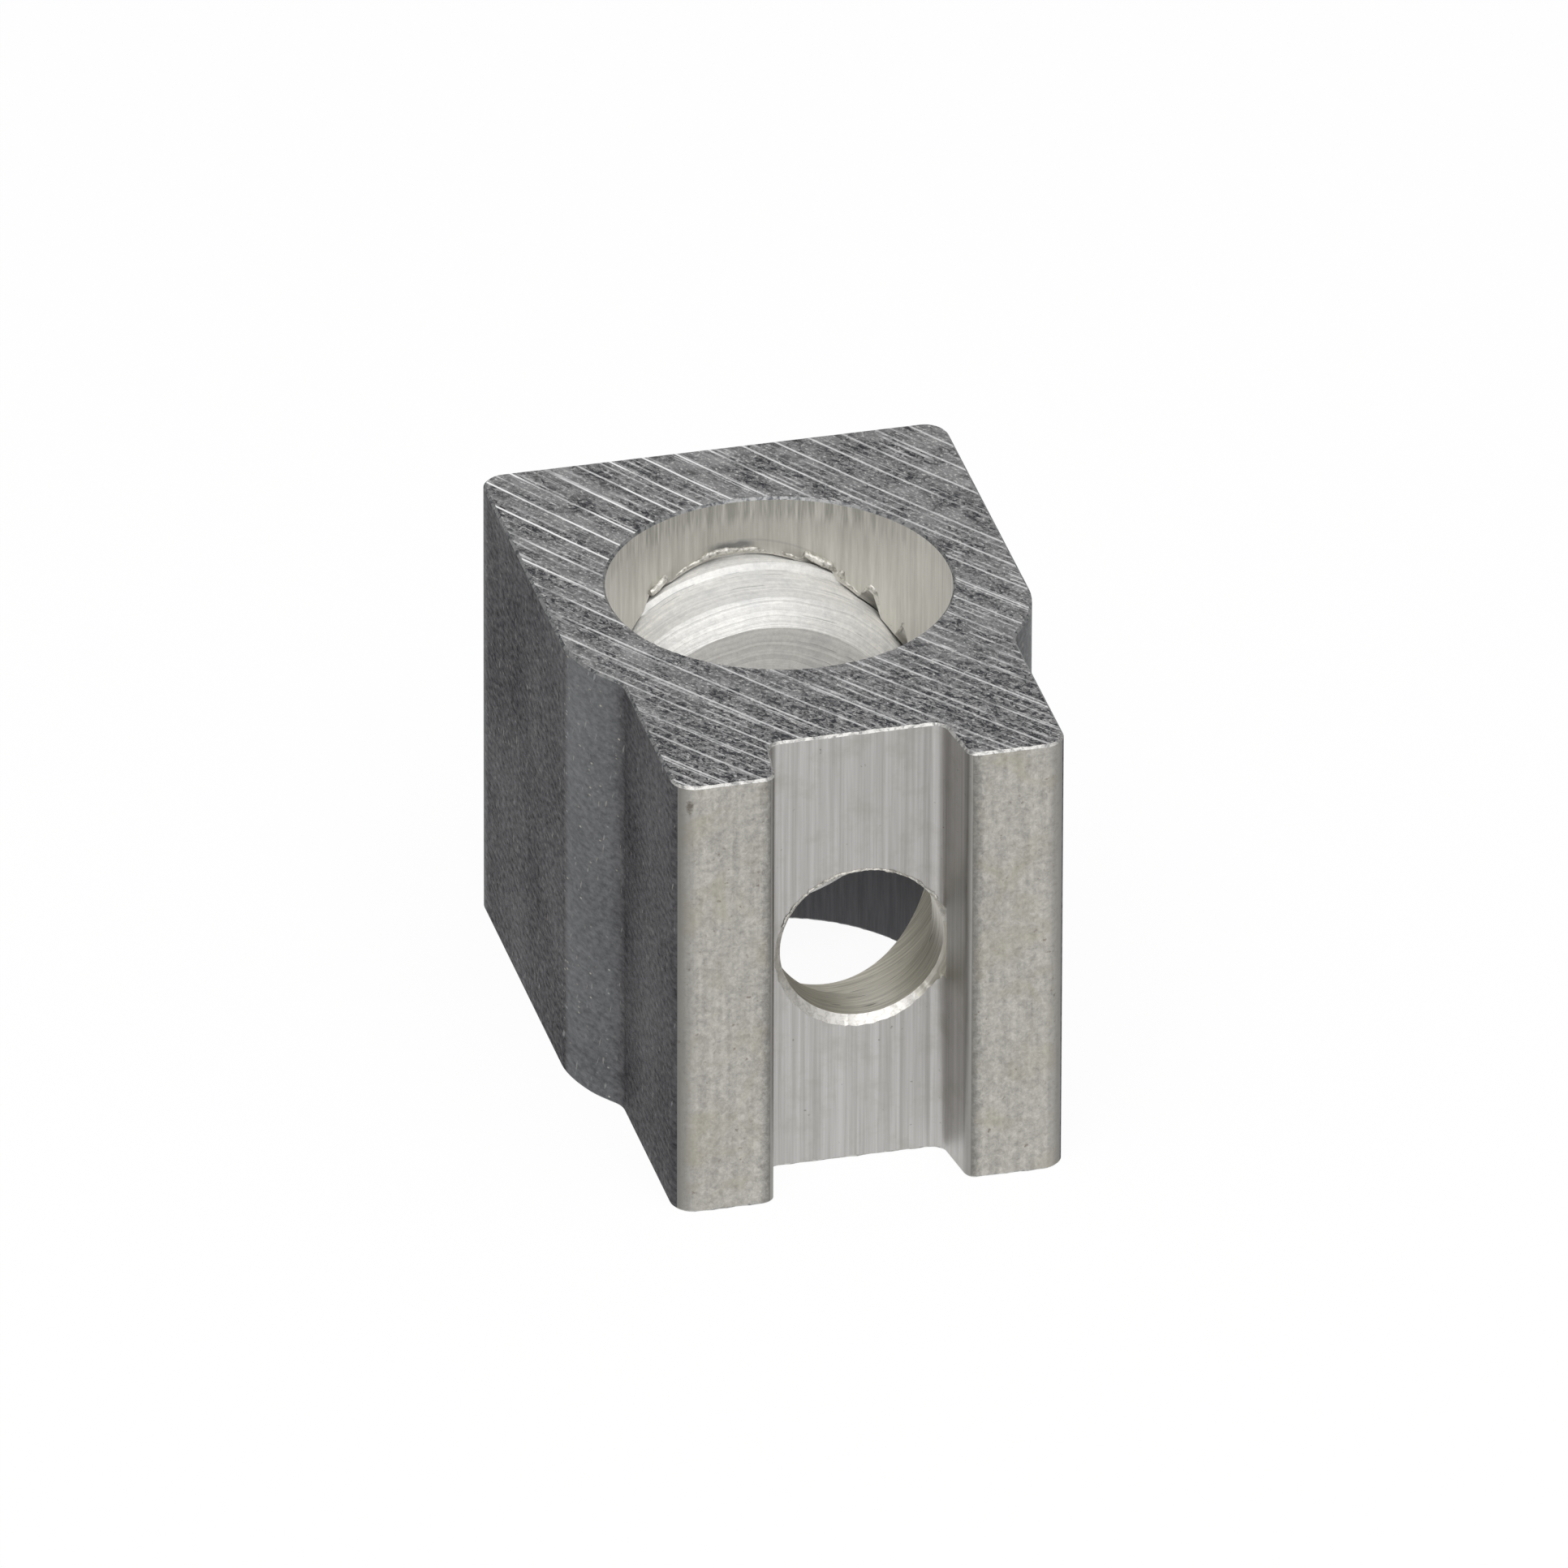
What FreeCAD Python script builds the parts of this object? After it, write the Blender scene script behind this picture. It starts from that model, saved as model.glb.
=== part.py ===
import FreeCAD, Part
import math
import os
import Sketcher

# Mechanical lug: a cut-off of extruded aluminium with a wire hole through it,
# and one set screw that clamps the wire from behind.
# Millimetres. +Z runs along the extrusion and its wire hole, -Y faces the terminal,
# and the origin is where the axis of the wire hole meets the sawn bottom face.

os.makedirs("parts", exist_ok=True)
doc = FreeCAD.newDocument("lug")

# Driving sizes
sheet = doc.addObject("Spreadsheet::Sheet", "sizes")
values = [
    ("cut_length", 19.9),
    ("head_width", 19.64),
    ("head_back", 11.58),
    ("head_corner", 1.0),
    ("shoulder_top", 4.39),
    ("shoulder_foot", 6.62),
    ("shoulder_round", 4.9),
    ("shoulder_fillet", 1.2),
    ("neck_width", 16.4),
    ("jaw_front", 15.64),
    ("jaw_corner", 0.95),
    ("groove_floor", 12.8),
    ("groove_floor_width", 7.32),
    ("groove_mouth_width", 8.12),
    ("groove_fillet", 0.62),
    ("groove_mouth_round", 0.45),
    ("wire_hole_radius", 7.11),
    ("screw_pitch_radius", 7.48),
    ("thread_clearance", 0.04),
    ("tapped_depth", 14.2),
    ("tapped_mouth_chamfer", 0.6),
    ("mounting_hole_radius", 3.42),
    ("mounting_hole_offset", 0.35),
    ("mounting_hole_chamfer", 0.23),
    ("chamfer_overrun", 0.25),
    ("head_seat_radius", 5.0),
    ("head_seat_wall", 2.1),
    ("screw_tip_at", 2.9),
    ("screw_length", 11.1),
    ("screw_tip_radius", 6.2),
    ("screw_tip_bevel", 0.75),
    ("screw_back_chamfer", 0.6),
    ("hex_across_flats", 7.94),
    ("hex_depth", 6.0),
    ("hex_point_depth", 1.6),
]
for row, (name, value) in enumerate(values, start=1):
    sheet.set("A%d" % row, name)
    sheet.set("B%d" % row, str(value))
    sheet.setAlias("B%d" % row, name)
doc.recompute()

# A sketch numbers the start and the end of a line from 1 up, and its own axes from -1 down.
# Its origin is the start of its horizontal axis.
START, END = range(1, 3)
HORIZONTAL_AXIS, VERTICAL_AXIS = range(-1, -3, -1)
ORIGIN = (HORIZONTAL_AXIS, START)


def size(name):
    return float(sheet.get(name))


def new_body(label):
    body = doc.addObject("PartDesign::Body", label)
    body.Label = label
    return body


def new_sketch(body, name, role):
    """A sketch on one of the body's own origin planes."""
    plane = [f for f in body.Origin.OriginFeatures if f.Role == role][0]
    sketch = body.newObject("Sketcher::SketchObject", name)
    sketch.AttachmentSupport = [(plane, "")]
    sketch.MapMode = "FlatFace"
    return sketch


def drive(sketch, constraint, name, formula):
    """Add a sized constraint and let the sheet drive it."""
    number = sketch.addConstraint(constraint)
    sketch.renameConstraint(number, name)
    sketch.setExpression("Constraints." + name, formula)


def across(sketch, line, end, name, formula):
    """Hold a point at a distance to the right of the sketch origin."""
    x = sketch.getPoint(line, end).x
    drive(sketch, Sketcher.Constraint("DistanceX", *ORIGIN, line, end, x), name, formula)


def above(sketch, line, end, name, formula):
    """Hold a point at a distance above the sketch origin."""
    y = sketch.getPoint(line, end).y
    drive(sketch, Sketcher.Constraint("DistanceY", *ORIGIN, line, end, y), name, formula)


def below(sketch, line, end, name, formula):
    """Hold a point at a distance below the sketch origin."""
    y = -sketch.getPoint(line, end).y
    drive(sketch, Sketcher.Constraint("DistanceY", line, end, *ORIGIN, y), name, formula)


def polygon(sketch, points):
    """A closed outline of straight lines, joined at their ends."""
    made = []
    for here, there in zip(points, points[1:] + points[:1]):
        ends = FreeCAD.Vector(*here, 0), FreeCAD.Vector(*there, 0)
        made.append(sketch.addGeometry(Part.LineSegment(*ends), False))
    for one, two in zip(made, made[1:] + made[:1]):
        sketch.addConstraint(Sketcher.Constraint("Coincident", one, END, two, START))
    return made


def level(sketch, *lines):
    for line in lines:
        sketch.addConstraint(Sketcher.Constraint("Horizontal", line))


def upright(sketch, *lines):
    for line in lines:
        sketch.addConstraint(Sketcher.Constraint("Vertical", line))


def rounded(before, corner, after, radius):
    """Start, middle and end of the arc that rounds a corner."""
    c = FreeCAD.Vector(*corner, 0)
    one = (FreeCAD.Vector(*before, 0) - c).normalize()
    two = (FreeCAD.Vector(*after, 0) - c).normalize()
    half = one.getAngle(two) / 2
    way = (one + two).normalize()
    leg = radius / math.tan(half)
    return c + one * leg, c + way * (radius / math.sin(half) - radius), c + two * leg


# Lug body: right half of the extruded section, from the back round to the groove
lug = new_body("lug_body")
section = new_sketch(lug, "half_section", "XY_Plane")
head, neck = size("head_width") / 2, size("neck_width") / 2
front, floor = -size("jaw_front"), -size("groove_floor")
corners = [
    ((0.0, size("head_back")), None),
    ((head, size("head_back")), "head_corner"),
    ((head, -size("shoulder_top")), "shoulder_round"),
    ((neck, -size("shoulder_foot")), "shoulder_fillet"),
    ((neck, front), "jaw_corner"),
    ((size("groove_mouth_width") / 2, front), "groove_mouth_round"),
    ((size("groove_floor_width") / 2, floor), "groove_fillet"),
    ((0.0, floor), None),
]
places = [FreeCAD.Vector(*corners[0][0], 0)]
rounds = []
for (before, _), (corner, name), (after, _) in zip(corners, corners[1:], corners[2:]):
    start, middle, end = rounded(before, corner, after, size(name))
    rounds.append((Part.Arc(start, middle, end), name))
    places += [start, end]
places.append(FreeCAD.Vector(*corners[-1][0], 0))
lines = [
    section.addGeometry(Part.LineSegment(one, two), False)
    for one, two in zip(places[::2], places[1::2])
]
arcs = [section.addGeometry(arc, False) for arc, _ in rounds]
closing = section.addGeometry(Part.LineSegment(places[-1], places[0]), False)
back_line, side_line, slope_line, neck_line, jaw_line, wall_line, floor_line = lines
for arc, before, after in zip(arcs, lines, lines[1:]):
    corner = section.getPoint(before, END)
    near = START if section.getPoint(arc, START).isEqual(corner, 0.001) else END
    far = START + END - near
    section.addConstraint(Sketcher.Constraint("Tangent", before, END, arc, near))
    section.addConstraint(Sketcher.Constraint("Tangent", arc, far, after, START))
section.addConstraint(Sketcher.Constraint("Coincident", floor_line, END, closing, START))
section.addConstraint(Sketcher.Constraint("Coincident", closing, END, back_line, START))
section.addConstraint(Sketcher.Constraint("PointOnObject", back_line, START, VERTICAL_AXIS))
level(section, back_line, jaw_line, floor_line)
upright(section, side_line, neck_line, closing)
for arc, (_, name) in zip(arcs, rounds):
    drive(section, Sketcher.Constraint("Radius", arc, size(name)), name, "sizes." + name)
above(section, back_line, START, "back", "sizes.head_back")
across(section, side_line, START, "head", "sizes.head_width / 2")
across(section, neck_line, START, "neck", "sizes.neck_width / 2")
below(section, jaw_line, START, "front", "sizes.jaw_front")
below(section, floor_line, END, "floor", "sizes.groove_floor")

# The sharp corners behind the shoulder's and the groove's rounds carry their sizes
sharp = []
for corner, one, two in (
    (corners[2][0], side_line, slope_line),
    (corners[3][0], slope_line, neck_line),
    (corners[5][0], jaw_line, wall_line),
    (corners[6][0], wall_line, floor_line),
):
    point = section.addGeometry(Part.Point(FreeCAD.Vector(*corner, 0)), True)
    section.addConstraint(Sketcher.Constraint("PointOnObject", point, START, one))
    section.addConstraint(Sketcher.Constraint("PointOnObject", point, START, two))
    sharp.append(point)
below(section, sharp[0], START, "shoulder_top", "sizes.shoulder_top")
below(section, sharp[1], START, "shoulder_foot", "sizes.shoulder_foot")
across(section, sharp[2], START, "groove_mouth", "sizes.groove_mouth_width / 2")
across(section, sharp[3], START, "groove_foot", "sizes.groove_floor_width / 2")
doc.recompute()

# The half is extruded to the saw's cut, and mirrored to the whole section
half_lug = lug.newObject("PartDesign::Pad", "half_extrusion")
half_lug.Profile = section
half_lug.setExpression("Length", "sizes.cut_length")
lug.Tip = half_lug
doc.recompute()
whole = lug.newObject("PartDesign::Mirrored", "whole_extrusion")
whole.Originals = [half_lug]
whole.MirrorPlane = ([f for f in lug.Origin.OriginFeatures if f.Role == "YZ_Plane"][0], [""])
whole.Refine = True
lug.Tip = whole
doc.recompute()
solid_extrusion = whole.Shape.Volume

# Wire hole, drawn with the section and open at both sawn faces
wire_circle = new_sketch(lug, "wire_circle", "XY_Plane")
ring = wire_circle.addGeometry(
    Part.Circle(FreeCAD.Vector(0, 0, 0), FreeCAD.Vector(0, 0, 1), size("wire_hole_radius")), False
)
wire_circle.addConstraint(Sketcher.Constraint("Coincident", ring, 3, *ORIGIN))
drive(
    wire_circle,
    Sketcher.Constraint("Radius", ring, size("wire_hole_radius")),
    "wire_hole",
    "sizes.wire_hole_radius",
)
wire_hole = lug.newObject("PartDesign::Pocket", "wire_hole")
wire_hole.Profile = wire_circle
wire_hole.Type = "ThroughAll"
wire_hole.Reversed = True
lug.Tip = wire_hole
doc.recompute()

# Tapped hole from the back, past the middle of the wire hole.
# Its wall stands at the pitch radius of the thread, with the screw's running clearance.
tap_circle = new_sketch(lug, "tap_circle", "XZ_Plane")
tap_circle.setExpression(".AttachmentOffset.Base.y", "sizes.cut_length / 2")
tap_circle.setExpression(".AttachmentOffset.Base.z", "-sizes.head_back")
tap_radius = size("screw_pitch_radius") + size("thread_clearance")
ring = tap_circle.addGeometry(
    Part.Circle(FreeCAD.Vector(0, 0, 0), FreeCAD.Vector(0, 0, 1), tap_radius), False
)
tap_circle.addConstraint(Sketcher.Constraint("Coincident", ring, 3, *ORIGIN))
drive(
    tap_circle,
    Sketcher.Constraint("Radius", ring, tap_radius),
    "tap",
    "sizes.screw_pitch_radius + sizes.thread_clearance",
)
tapped_hole = lug.newObject("PartDesign::Pocket", "tapped_hole")
tapped_hole.Profile = tap_circle
tapped_hole.setExpression("Length", "sizes.tapped_depth")
tapped_hole.Reversed = True
lug.Tip = tapped_hole
doc.recompute()

# The tapped hole's mouth in the back face is countersunk past the thread's major diameter
mouth_edges = [
    "Edge%d" % number
    for number, edge in enumerate(tapped_hole.Shape.Edges, start=1)
    if isinstance(edge.Curve, Part.Circle)
    and abs(edge.Curve.Center.y - size("head_back")) < 0.001
    and abs(edge.Curve.Radius - tap_radius) < 0.001
]
tapped_mouth = lug.newObject("PartDesign::Chamfer", "tapped_mouth")
tapped_mouth.Base = (tapped_hole, mouth_edges)
tapped_mouth.setExpression("Size", "sizes.tapped_mouth_chamfer")
lug.Tip = tapped_mouth
doc.recompute()

# Mounting hole from the groove's floor into the wire hole, with its deburred rim.
# The rim runs a little way up the fillets beside the floor. From inside, the hole is
# counterbored through the tapped hole, as a seat for the head of the terminal's screw.
drill = new_sketch(lug, "drill_outline", "XY_Plane")
drill.setExpression(".AttachmentOffset.Base.x", "sizes.mounting_hole_offset")
drill.setExpression(".AttachmentOffset.Base.z", "sizes.cut_length / 2")
hole, edge = size("mounting_hole_radius"), size("mounting_hole_chamfer")
over, wall = size("chamfer_overrun"), size("head_seat_wall")
head_seat, inside = size("head_seat_radius"), -size("wire_hole_radius") / 2
outline = polygon(
    drill,
    [
        (0, inside),
        (head_seat, inside),
        (head_seat, floor + wall),
        (hole, floor + wall),
        (hole, floor + edge),
        (hole + edge + over, floor - over),
        (0, floor - over),
    ],
)
top_line, seat_line, ledge_line, hole_line, cone_line, end_line, axis_line = outline
level(drill, top_line, ledge_line, end_line)
upright(drill, seat_line, hole_line, axis_line)
drill.addConstraint(Sketcher.Constraint("PointOnObject", top_line, START, VERTICAL_AXIS))
below(drill, top_line, START, "inside", "sizes.wire_hole_radius / 2")
across(drill, seat_line, START, "head_seat", "sizes.head_seat_radius")
below(drill, ledge_line, START, "ledge", "sizes.groove_floor - sizes.head_seat_wall")
across(drill, hole_line, START, "hole", "sizes.mounting_hole_radius")
below(drill, cone_line, START, "edge", "sizes.groove_floor - sizes.mounting_hole_chamfer")
rim = "sizes.mounting_hole_radius + sizes.mounting_hole_chamfer + sizes.chamfer_overrun"
across(drill, cone_line, END, "rim", rim)
below(drill, end_line, START, "over", "sizes.groove_floor + sizes.chamfer_overrun")
mounting_hole = lug.newObject("PartDesign::Groove", "mounting_hole")
mounting_hole.Profile = drill
mounting_hole.ReferenceAxis = (drill, ["V_Axis"])
mounting_hole.Angle = 360
lug.Tip = mounting_hole
doc.recompute()

# Set screw: turned about its own axis, which lies along Y, with its flat tip at the origin
screw = new_body("set_screw")
turning = new_sketch(screw, "screw_outline", "XY_Plane")
tip, thread = size("screw_tip_radius"), size("screw_pitch_radius")
tip_bevel = size("screw_tip_bevel")
length, back_edge = size("screw_length"), size("screw_back_chamfer")
outline = polygon(
    turning,
    [
        (0, 0),
        (tip, 0),
        (thread, tip_bevel),
        (thread, length - back_edge),
        (thread - back_edge, length),
        (0, length),
    ],
)
tip_line, bevel_line, thread_line, back_bevel, end_line, axis_line = outline
level(turning, tip_line, end_line)
upright(turning, thread_line, axis_line)
turning.addConstraint(Sketcher.Constraint("Coincident", tip_line, START, *ORIGIN))
across(turning, tip_line, END, "tip", "sizes.screw_tip_radius")
across(turning, thread_line, START, "thread", "sizes.screw_pitch_radius")
above(turning, thread_line, START, "bevel", "sizes.screw_tip_bevel")
above(turning, thread_line, END, "thread_end", "sizes.screw_length - sizes.screw_back_chamfer")
above(turning, end_line, START, "length", "sizes.screw_length")
shoulder = "sizes.screw_pitch_radius - sizes.screw_back_chamfer"
across(turning, end_line, START, "back_edge", shoulder)
turned = screw.newObject("PartDesign::Revolution", "turned_blank")
turned.Profile = turning
turned.ReferenceAxis = (turning, ["V_Axis"])
turned.Angle = 360
screw.Tip = turned
doc.recompute()
solid_screw = turned.Shape.Volume

# Hexagon socket for the key, cut into the screw's back, over the point of its drill
hexagon = new_sketch(screw, "hexagon", "XZ_Plane")
hexagon.setExpression(".AttachmentOffset.Base.z", "-sizes.screw_length")
corner = size("hex_across_flats") / 2 / math.cos(math.pi / 6)
turns = [math.pi / 3 * step for step in range(6)]
sides = polygon(hexagon, [(corner * math.cos(t), corner * math.sin(t)) for t in turns])
guide = hexagon.addGeometry(
    Part.Circle(FreeCAD.Vector(0, 0, 0), FreeCAD.Vector(0, 0, 1), corner), True
)
hexagon.addConstraint(Sketcher.Constraint("Coincident", guide, 3, *ORIGIN))
for side in sides:
    hexagon.addConstraint(Sketcher.Constraint("PointOnObject", side, START, guide))
for side in sides[1:]:
    hexagon.addConstraint(Sketcher.Constraint("Equal", sides[0], side))
level(hexagon, sides[1])
drive(
    hexagon,
    Sketcher.Constraint("Radius", guide, corner),
    "hex_corner",
    "sizes.hex_across_flats / 2 / cos(30 deg)",
)
socket = screw.newObject("PartDesign::Pocket", "hex_socket")
socket.Profile = hexagon
socket.setExpression("Length", "sizes.hex_depth")
socket.Reversed = True
screw.Tip = socket
doc.recompute()
drill_point = new_sketch(screw, "drill_point", "XY_Plane")
bottom = length - size("hex_depth")
flat = size("hex_across_flats") / 2
outline = polygon(
    drill_point, [(0, bottom - size("hex_point_depth")), (flat, bottom), (0, bottom)]
)
cone_line, rim_line, axis_line = outline
level(drill_point, rim_line)
upright(drill_point, axis_line)
drill_point.addConstraint(Sketcher.Constraint("PointOnObject", cone_line, START, VERTICAL_AXIS))
across(drill_point, cone_line, END, "flat", "sizes.hex_across_flats / 2")
above(drill_point, rim_line, END, "bottom", "sizes.screw_length - sizes.hex_depth")
point_at = "sizes.screw_length - sizes.hex_depth - sizes.hex_point_depth"
above(drill_point, cone_line, START, "point", point_at)
socket_end = screw.newObject("PartDesign::Groove", "socket_end")
socket_end.Profile = drill_point
socket_end.ReferenceAxis = (drill_point, ["V_Axis"])
socket_end.Angle = 360
screw.Tip = socket_end
doc.recompute()

# Each piece in its place: the screw's tip stands in the wire hole, as in use on a mid-size wire
lug.Placement = FreeCAD.Placement()
screw.setExpression(".Placement.Base.y", "sizes.screw_tip_at")
screw.setExpression(".Placement.Base.z", "sizes.cut_length / 2")
doc.recompute()

# Checks before the pieces are written
removed = [
    ("wire hole", solid_extrusion, wire_hole.Shape.Volume),
    ("tapped hole", wire_hole.Shape.Volume, tapped_hole.Shape.Volume),
    ("tapped mouth", tapped_hole.Shape.Volume, tapped_mouth.Shape.Volume),
    ("mounting hole", tapped_mouth.Shape.Volume, mounting_hole.Shape.Volume),
    ("hexagon socket", solid_screw, socket.Shape.Volume),
    ("socket end", socket.Shape.Volume, socket_end.Shape.Volume),
]
for name, before, after in removed:
    print("%s takes away %.1f mm3" % (name, before - after))
    if after > before - 1.0:
        raise ValueError(name + " cut nothing")
for item in doc.Objects:
    if "Invalid" in item.State or "Error" in item.State:
        raise ValueError(item.Name + " did not rebuild")
for sketch in (section, wire_circle, tap_circle, drill, turning, hexagon, drill_point):
    if sketch.solve() != 0 or not sketch.FullyConstrained:
        raise ValueError(sketch.Name + " is not fully held")
for piece in (lug, screw):
    shape = piece.Shape
    if shape.isNull() or not shape.isValid() or len(shape.Solids) != 1:
        raise ValueError(piece.Label + " is not one valid solid")
    box = shape.BoundBox
    print(
        "%s: %.1f mm3, X %.2f to %.2f, Y %.2f to %.2f, Z %.2f to %.2f"
        % (piece.Label, shape.Volume, box.XMin, box.XMax, box.YMin, box.YMax, box.ZMin, box.ZMax)
    )
    shape.exportStep("parts/%s.step" % piece.Label)
gap = lug.Shape.distToShape(screw.Shape)[0]
shared = lug.Shape.common(screw.Shape).Volume
print("clearance %.3f mm, shared %.4f mm3" % (gap, shared))
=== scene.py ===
# %% [markdown]
# # A mechanical lug, dressed
# The object is a short cut-off of an aluminium extrusion. A wire goes into the round hole
# that runs along it, a big set screw clamps the wire from behind, and the grooved front is
# screwed to a terminal. The CAD model gives every size and place, and this script models
# both pieces again with the details that show up close: the saw's marks, the rolled edges,
# the real thread and the burrs that the tap left.

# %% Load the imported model
import math
import bmesh
import bpy
from mathutils import Matrix, Vector, noise


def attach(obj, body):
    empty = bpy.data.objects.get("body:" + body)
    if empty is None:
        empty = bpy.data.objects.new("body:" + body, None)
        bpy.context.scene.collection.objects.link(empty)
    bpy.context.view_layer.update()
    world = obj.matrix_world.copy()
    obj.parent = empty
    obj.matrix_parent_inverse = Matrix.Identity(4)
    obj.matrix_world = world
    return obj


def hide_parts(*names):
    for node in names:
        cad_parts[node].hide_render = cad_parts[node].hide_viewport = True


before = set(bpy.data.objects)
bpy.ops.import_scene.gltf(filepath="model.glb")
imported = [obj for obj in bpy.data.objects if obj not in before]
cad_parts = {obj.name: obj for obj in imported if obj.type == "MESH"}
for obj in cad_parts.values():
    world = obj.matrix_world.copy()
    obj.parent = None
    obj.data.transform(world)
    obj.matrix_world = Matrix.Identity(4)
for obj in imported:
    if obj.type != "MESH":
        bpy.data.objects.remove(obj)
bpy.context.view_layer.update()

# %% [markdown]
# ## Sizes
# All lengths in this script are in millimetres, as on a drawing, and `MM` turns them into
# Blender's metres. Z runs along the extrusion, -Y faces the terminal, and the wire hole's
# axis is X = Y = 0. The section's sizes come first. Each hole's and the screw's stand where
# that piece is made.

# %% Sizes of the extrusion
MM = 0.001
HEIGHT = 19.9
BACK, FRONT, GROOVE_FLOOR = 11.58, -15.64, -12.8
HEAD, NECK = 9.82, 8.2
SHOULDER_TOP, SHOULDER_FOOT = -4.39, -6.62
GROOVE_FOOT, GROOVE_MOUTH = 3.66, 4.06
MIDDLE = HEIGHT / 2
print("section %.1f x %.1f mm, cut %.1f mm long" % (2 * HEAD, BACK - FRONT, HEIGHT))

# %% [markdown]
# ## Finishes
# Every material below is bare aluminium, and only the way each surface was made differs:
# pushed through a die, sawn, drilled, tapped or turned. One helper adds a node, one connects
# it, and one turns a colour as it is written on the screen (sRGB) into the linear values
# that Blender uses. Some nodes have several sockets with the same name, so those are called
# by number, and the numbers get names here: the share of the upper colour or value, what
# lies under and over, the mixed colour, and the ends of a range.

# %% Helpers for finishes
PART, UNDER, OVER, MIXED = 0, 6, 7, 2
VALUE_UNDER, VALUE_OVER = 2, 3
VALUE, FROM_LOW, FROM_HIGH, TO_LOW, TO_HIGH = range(5)


def linear(hexadecimal):
    """A colour written as sRGB, such as "a0a09c", in Blender's linear values."""
    values = [int(hexadecimal[i:i + 2], 16) / 255 for i in (0, 2, 4)]
    return (*[v / 12.92 if v <= 0.04045 else ((v + 0.055) / 1.055) ** 2.4 for v in values], 1.0)


def connect(finish, node, wires):
    """Give each named socket of a node a plain value or the output of another node."""
    for name, value in wires.items():
        if isinstance(value, bpy.types.NodeSocket):
            finish.node_tree.links.new(value, node.inputs[name])
        else:
            node.inputs[name].default_value = value


def add(finish, kind, wires=None, **settings):
    """Add one node. Settings are its options, and wires go to its sockets."""
    node = finish.node_tree.nodes.new(kind)
    for name, value in settings.items():
        setattr(node, name, value)
    connect(finish, node, wires or {})
    return node


def new_finish(name):
    """An empty metal finish: its shader, and each spot's place in the piece's own metres."""
    finish = bpy.data.materials.new(name)
    finish.use_nodes = True
    finish.node_tree.nodes.clear()
    shader = add(finish, "ShaderNodeBsdfPrincipled", {"Metallic": 1.0})
    add(finish, "ShaderNodeOutputMaterial", {"Surface": shader.outputs[0]})
    place = add(finish, "ShaderNodeTexCoord").outputs["Object"]
    return finish, shader, place


def made(finish):
    """Say which finish was made, and hand it on."""
    print("%s: %d nodes" % (finish.name, len(finish.node_tree.nodes)))
    return finish


# %% [markdown]
# ### Sawn end
# A circular saw parted the lug from the long extrusion. Each tooth left an arc, the teeth
# that stand proud left the deep bright ones 1.19 mm apart, and between them the soft metal
# tore into dark curly flecks. Straight lines would be quicker, but on the real face they
# all bend round the blade's centre, so the pattern runs on the distance from that point.

# %% Torn ground between the marks
def torn_ground(finish, flat, along):
    """The torn metal's colour, and how dark its flecks are at each spot."""
    # flecks of 0.1 to 0.3 mm, thick in torn patches and towards the front, and a few glints
    patches = add(finish, "ShaderNodeTexNoise", {
        "Vector": along, "Scale": 0.75, "Detail": 3.0, "Roughness": 0.6,
    }).outputs[0]
    torn = add(finish, "ShaderNodeMapRange", {
        VALUE: patches, FROM_LOW: 0.35, FROM_HIGH: 0.58, TO_LOW: 0.16,
    }).outputs[0]
    front = add(finish, "ShaderNodeSeparateXYZ", {0: flat}).outputs["Y"]
    front = add(finish, "ShaderNodeMapRange", {VALUE: front, FROM_LOW: -1.0, FROM_HIGH: -11.0}).outputs[0]
    torn = add(finish, "ShaderNodeMath", {0: torn, 1: front}, operation="MAXIMUM").outputs[0]
    flecks = add(finish, "ShaderNodeTexNoise", {
        "Vector": along, "Scale": 5.4, "Detail": 5.0, "Roughness": 0.72, "Distortion": 0.8,
    }).outputs[0]
    fleck = add(finish, "ShaderNodeMapRange", {VALUE: flecks, FROM_LOW: 0.56, FROM_HIGH: 0.44}).outputs[0]
    dark = add(finish, "ShaderNodeMath", {0: fleck, 1: torn}, operation="MULTIPLY").outputs[0]
    grit = add(finish, "ShaderNodeTexNoise", {
        "Vector": along, "Scale": 9.0, "Detail": 3.0, "Roughness": 0.6,
    }).outputs[0]
    glint = add(finish, "ShaderNodeMapRange", {
        VALUE: grit, FROM_LOW: 0.54, FROM_HIGH: 0.64, TO_HIGH: 0.9,
    }).outputs[0]
    ground = add(finish, "ShaderNodeMix", {
        PART: patches, UNDER: linear("c6c5c5"), OVER: linear("878687"),
    }, data_type="RGBA").outputs[MIXED]
    ground = add(finish, "ShaderNodeMix", {
        PART: glint, UNDER: ground, OVER: linear("f4f4f2"),
    }, data_type="RGBA").outputs[MIXED]
    ground = add(finish, "ShaderNodeMix", {
        PART: dark, UNDER: ground, OVER: linear("48494d"),
    }, data_type="RGBA").outputs[MIXED]
    return ground, dark


# %% [markdown]
# ### Tooth marks
# The distance from the blade's centre, divided by the spacing, grows by one from each proud
# tooth's mark to the next. Counted from a distance that lies midway between two marks, its
# fraction is a half on a mark, and shows elsewhere how far off the mark is. One slow noise
# lets the marks wander by a few hundredths of a millimetre, and others fade and break them.

# %% Tooth marks
SAW_CENTRE = (206.0, 141.5, 0.0)
MIDWAY, MARK_SPACING = 249.09, 1.187


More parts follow.
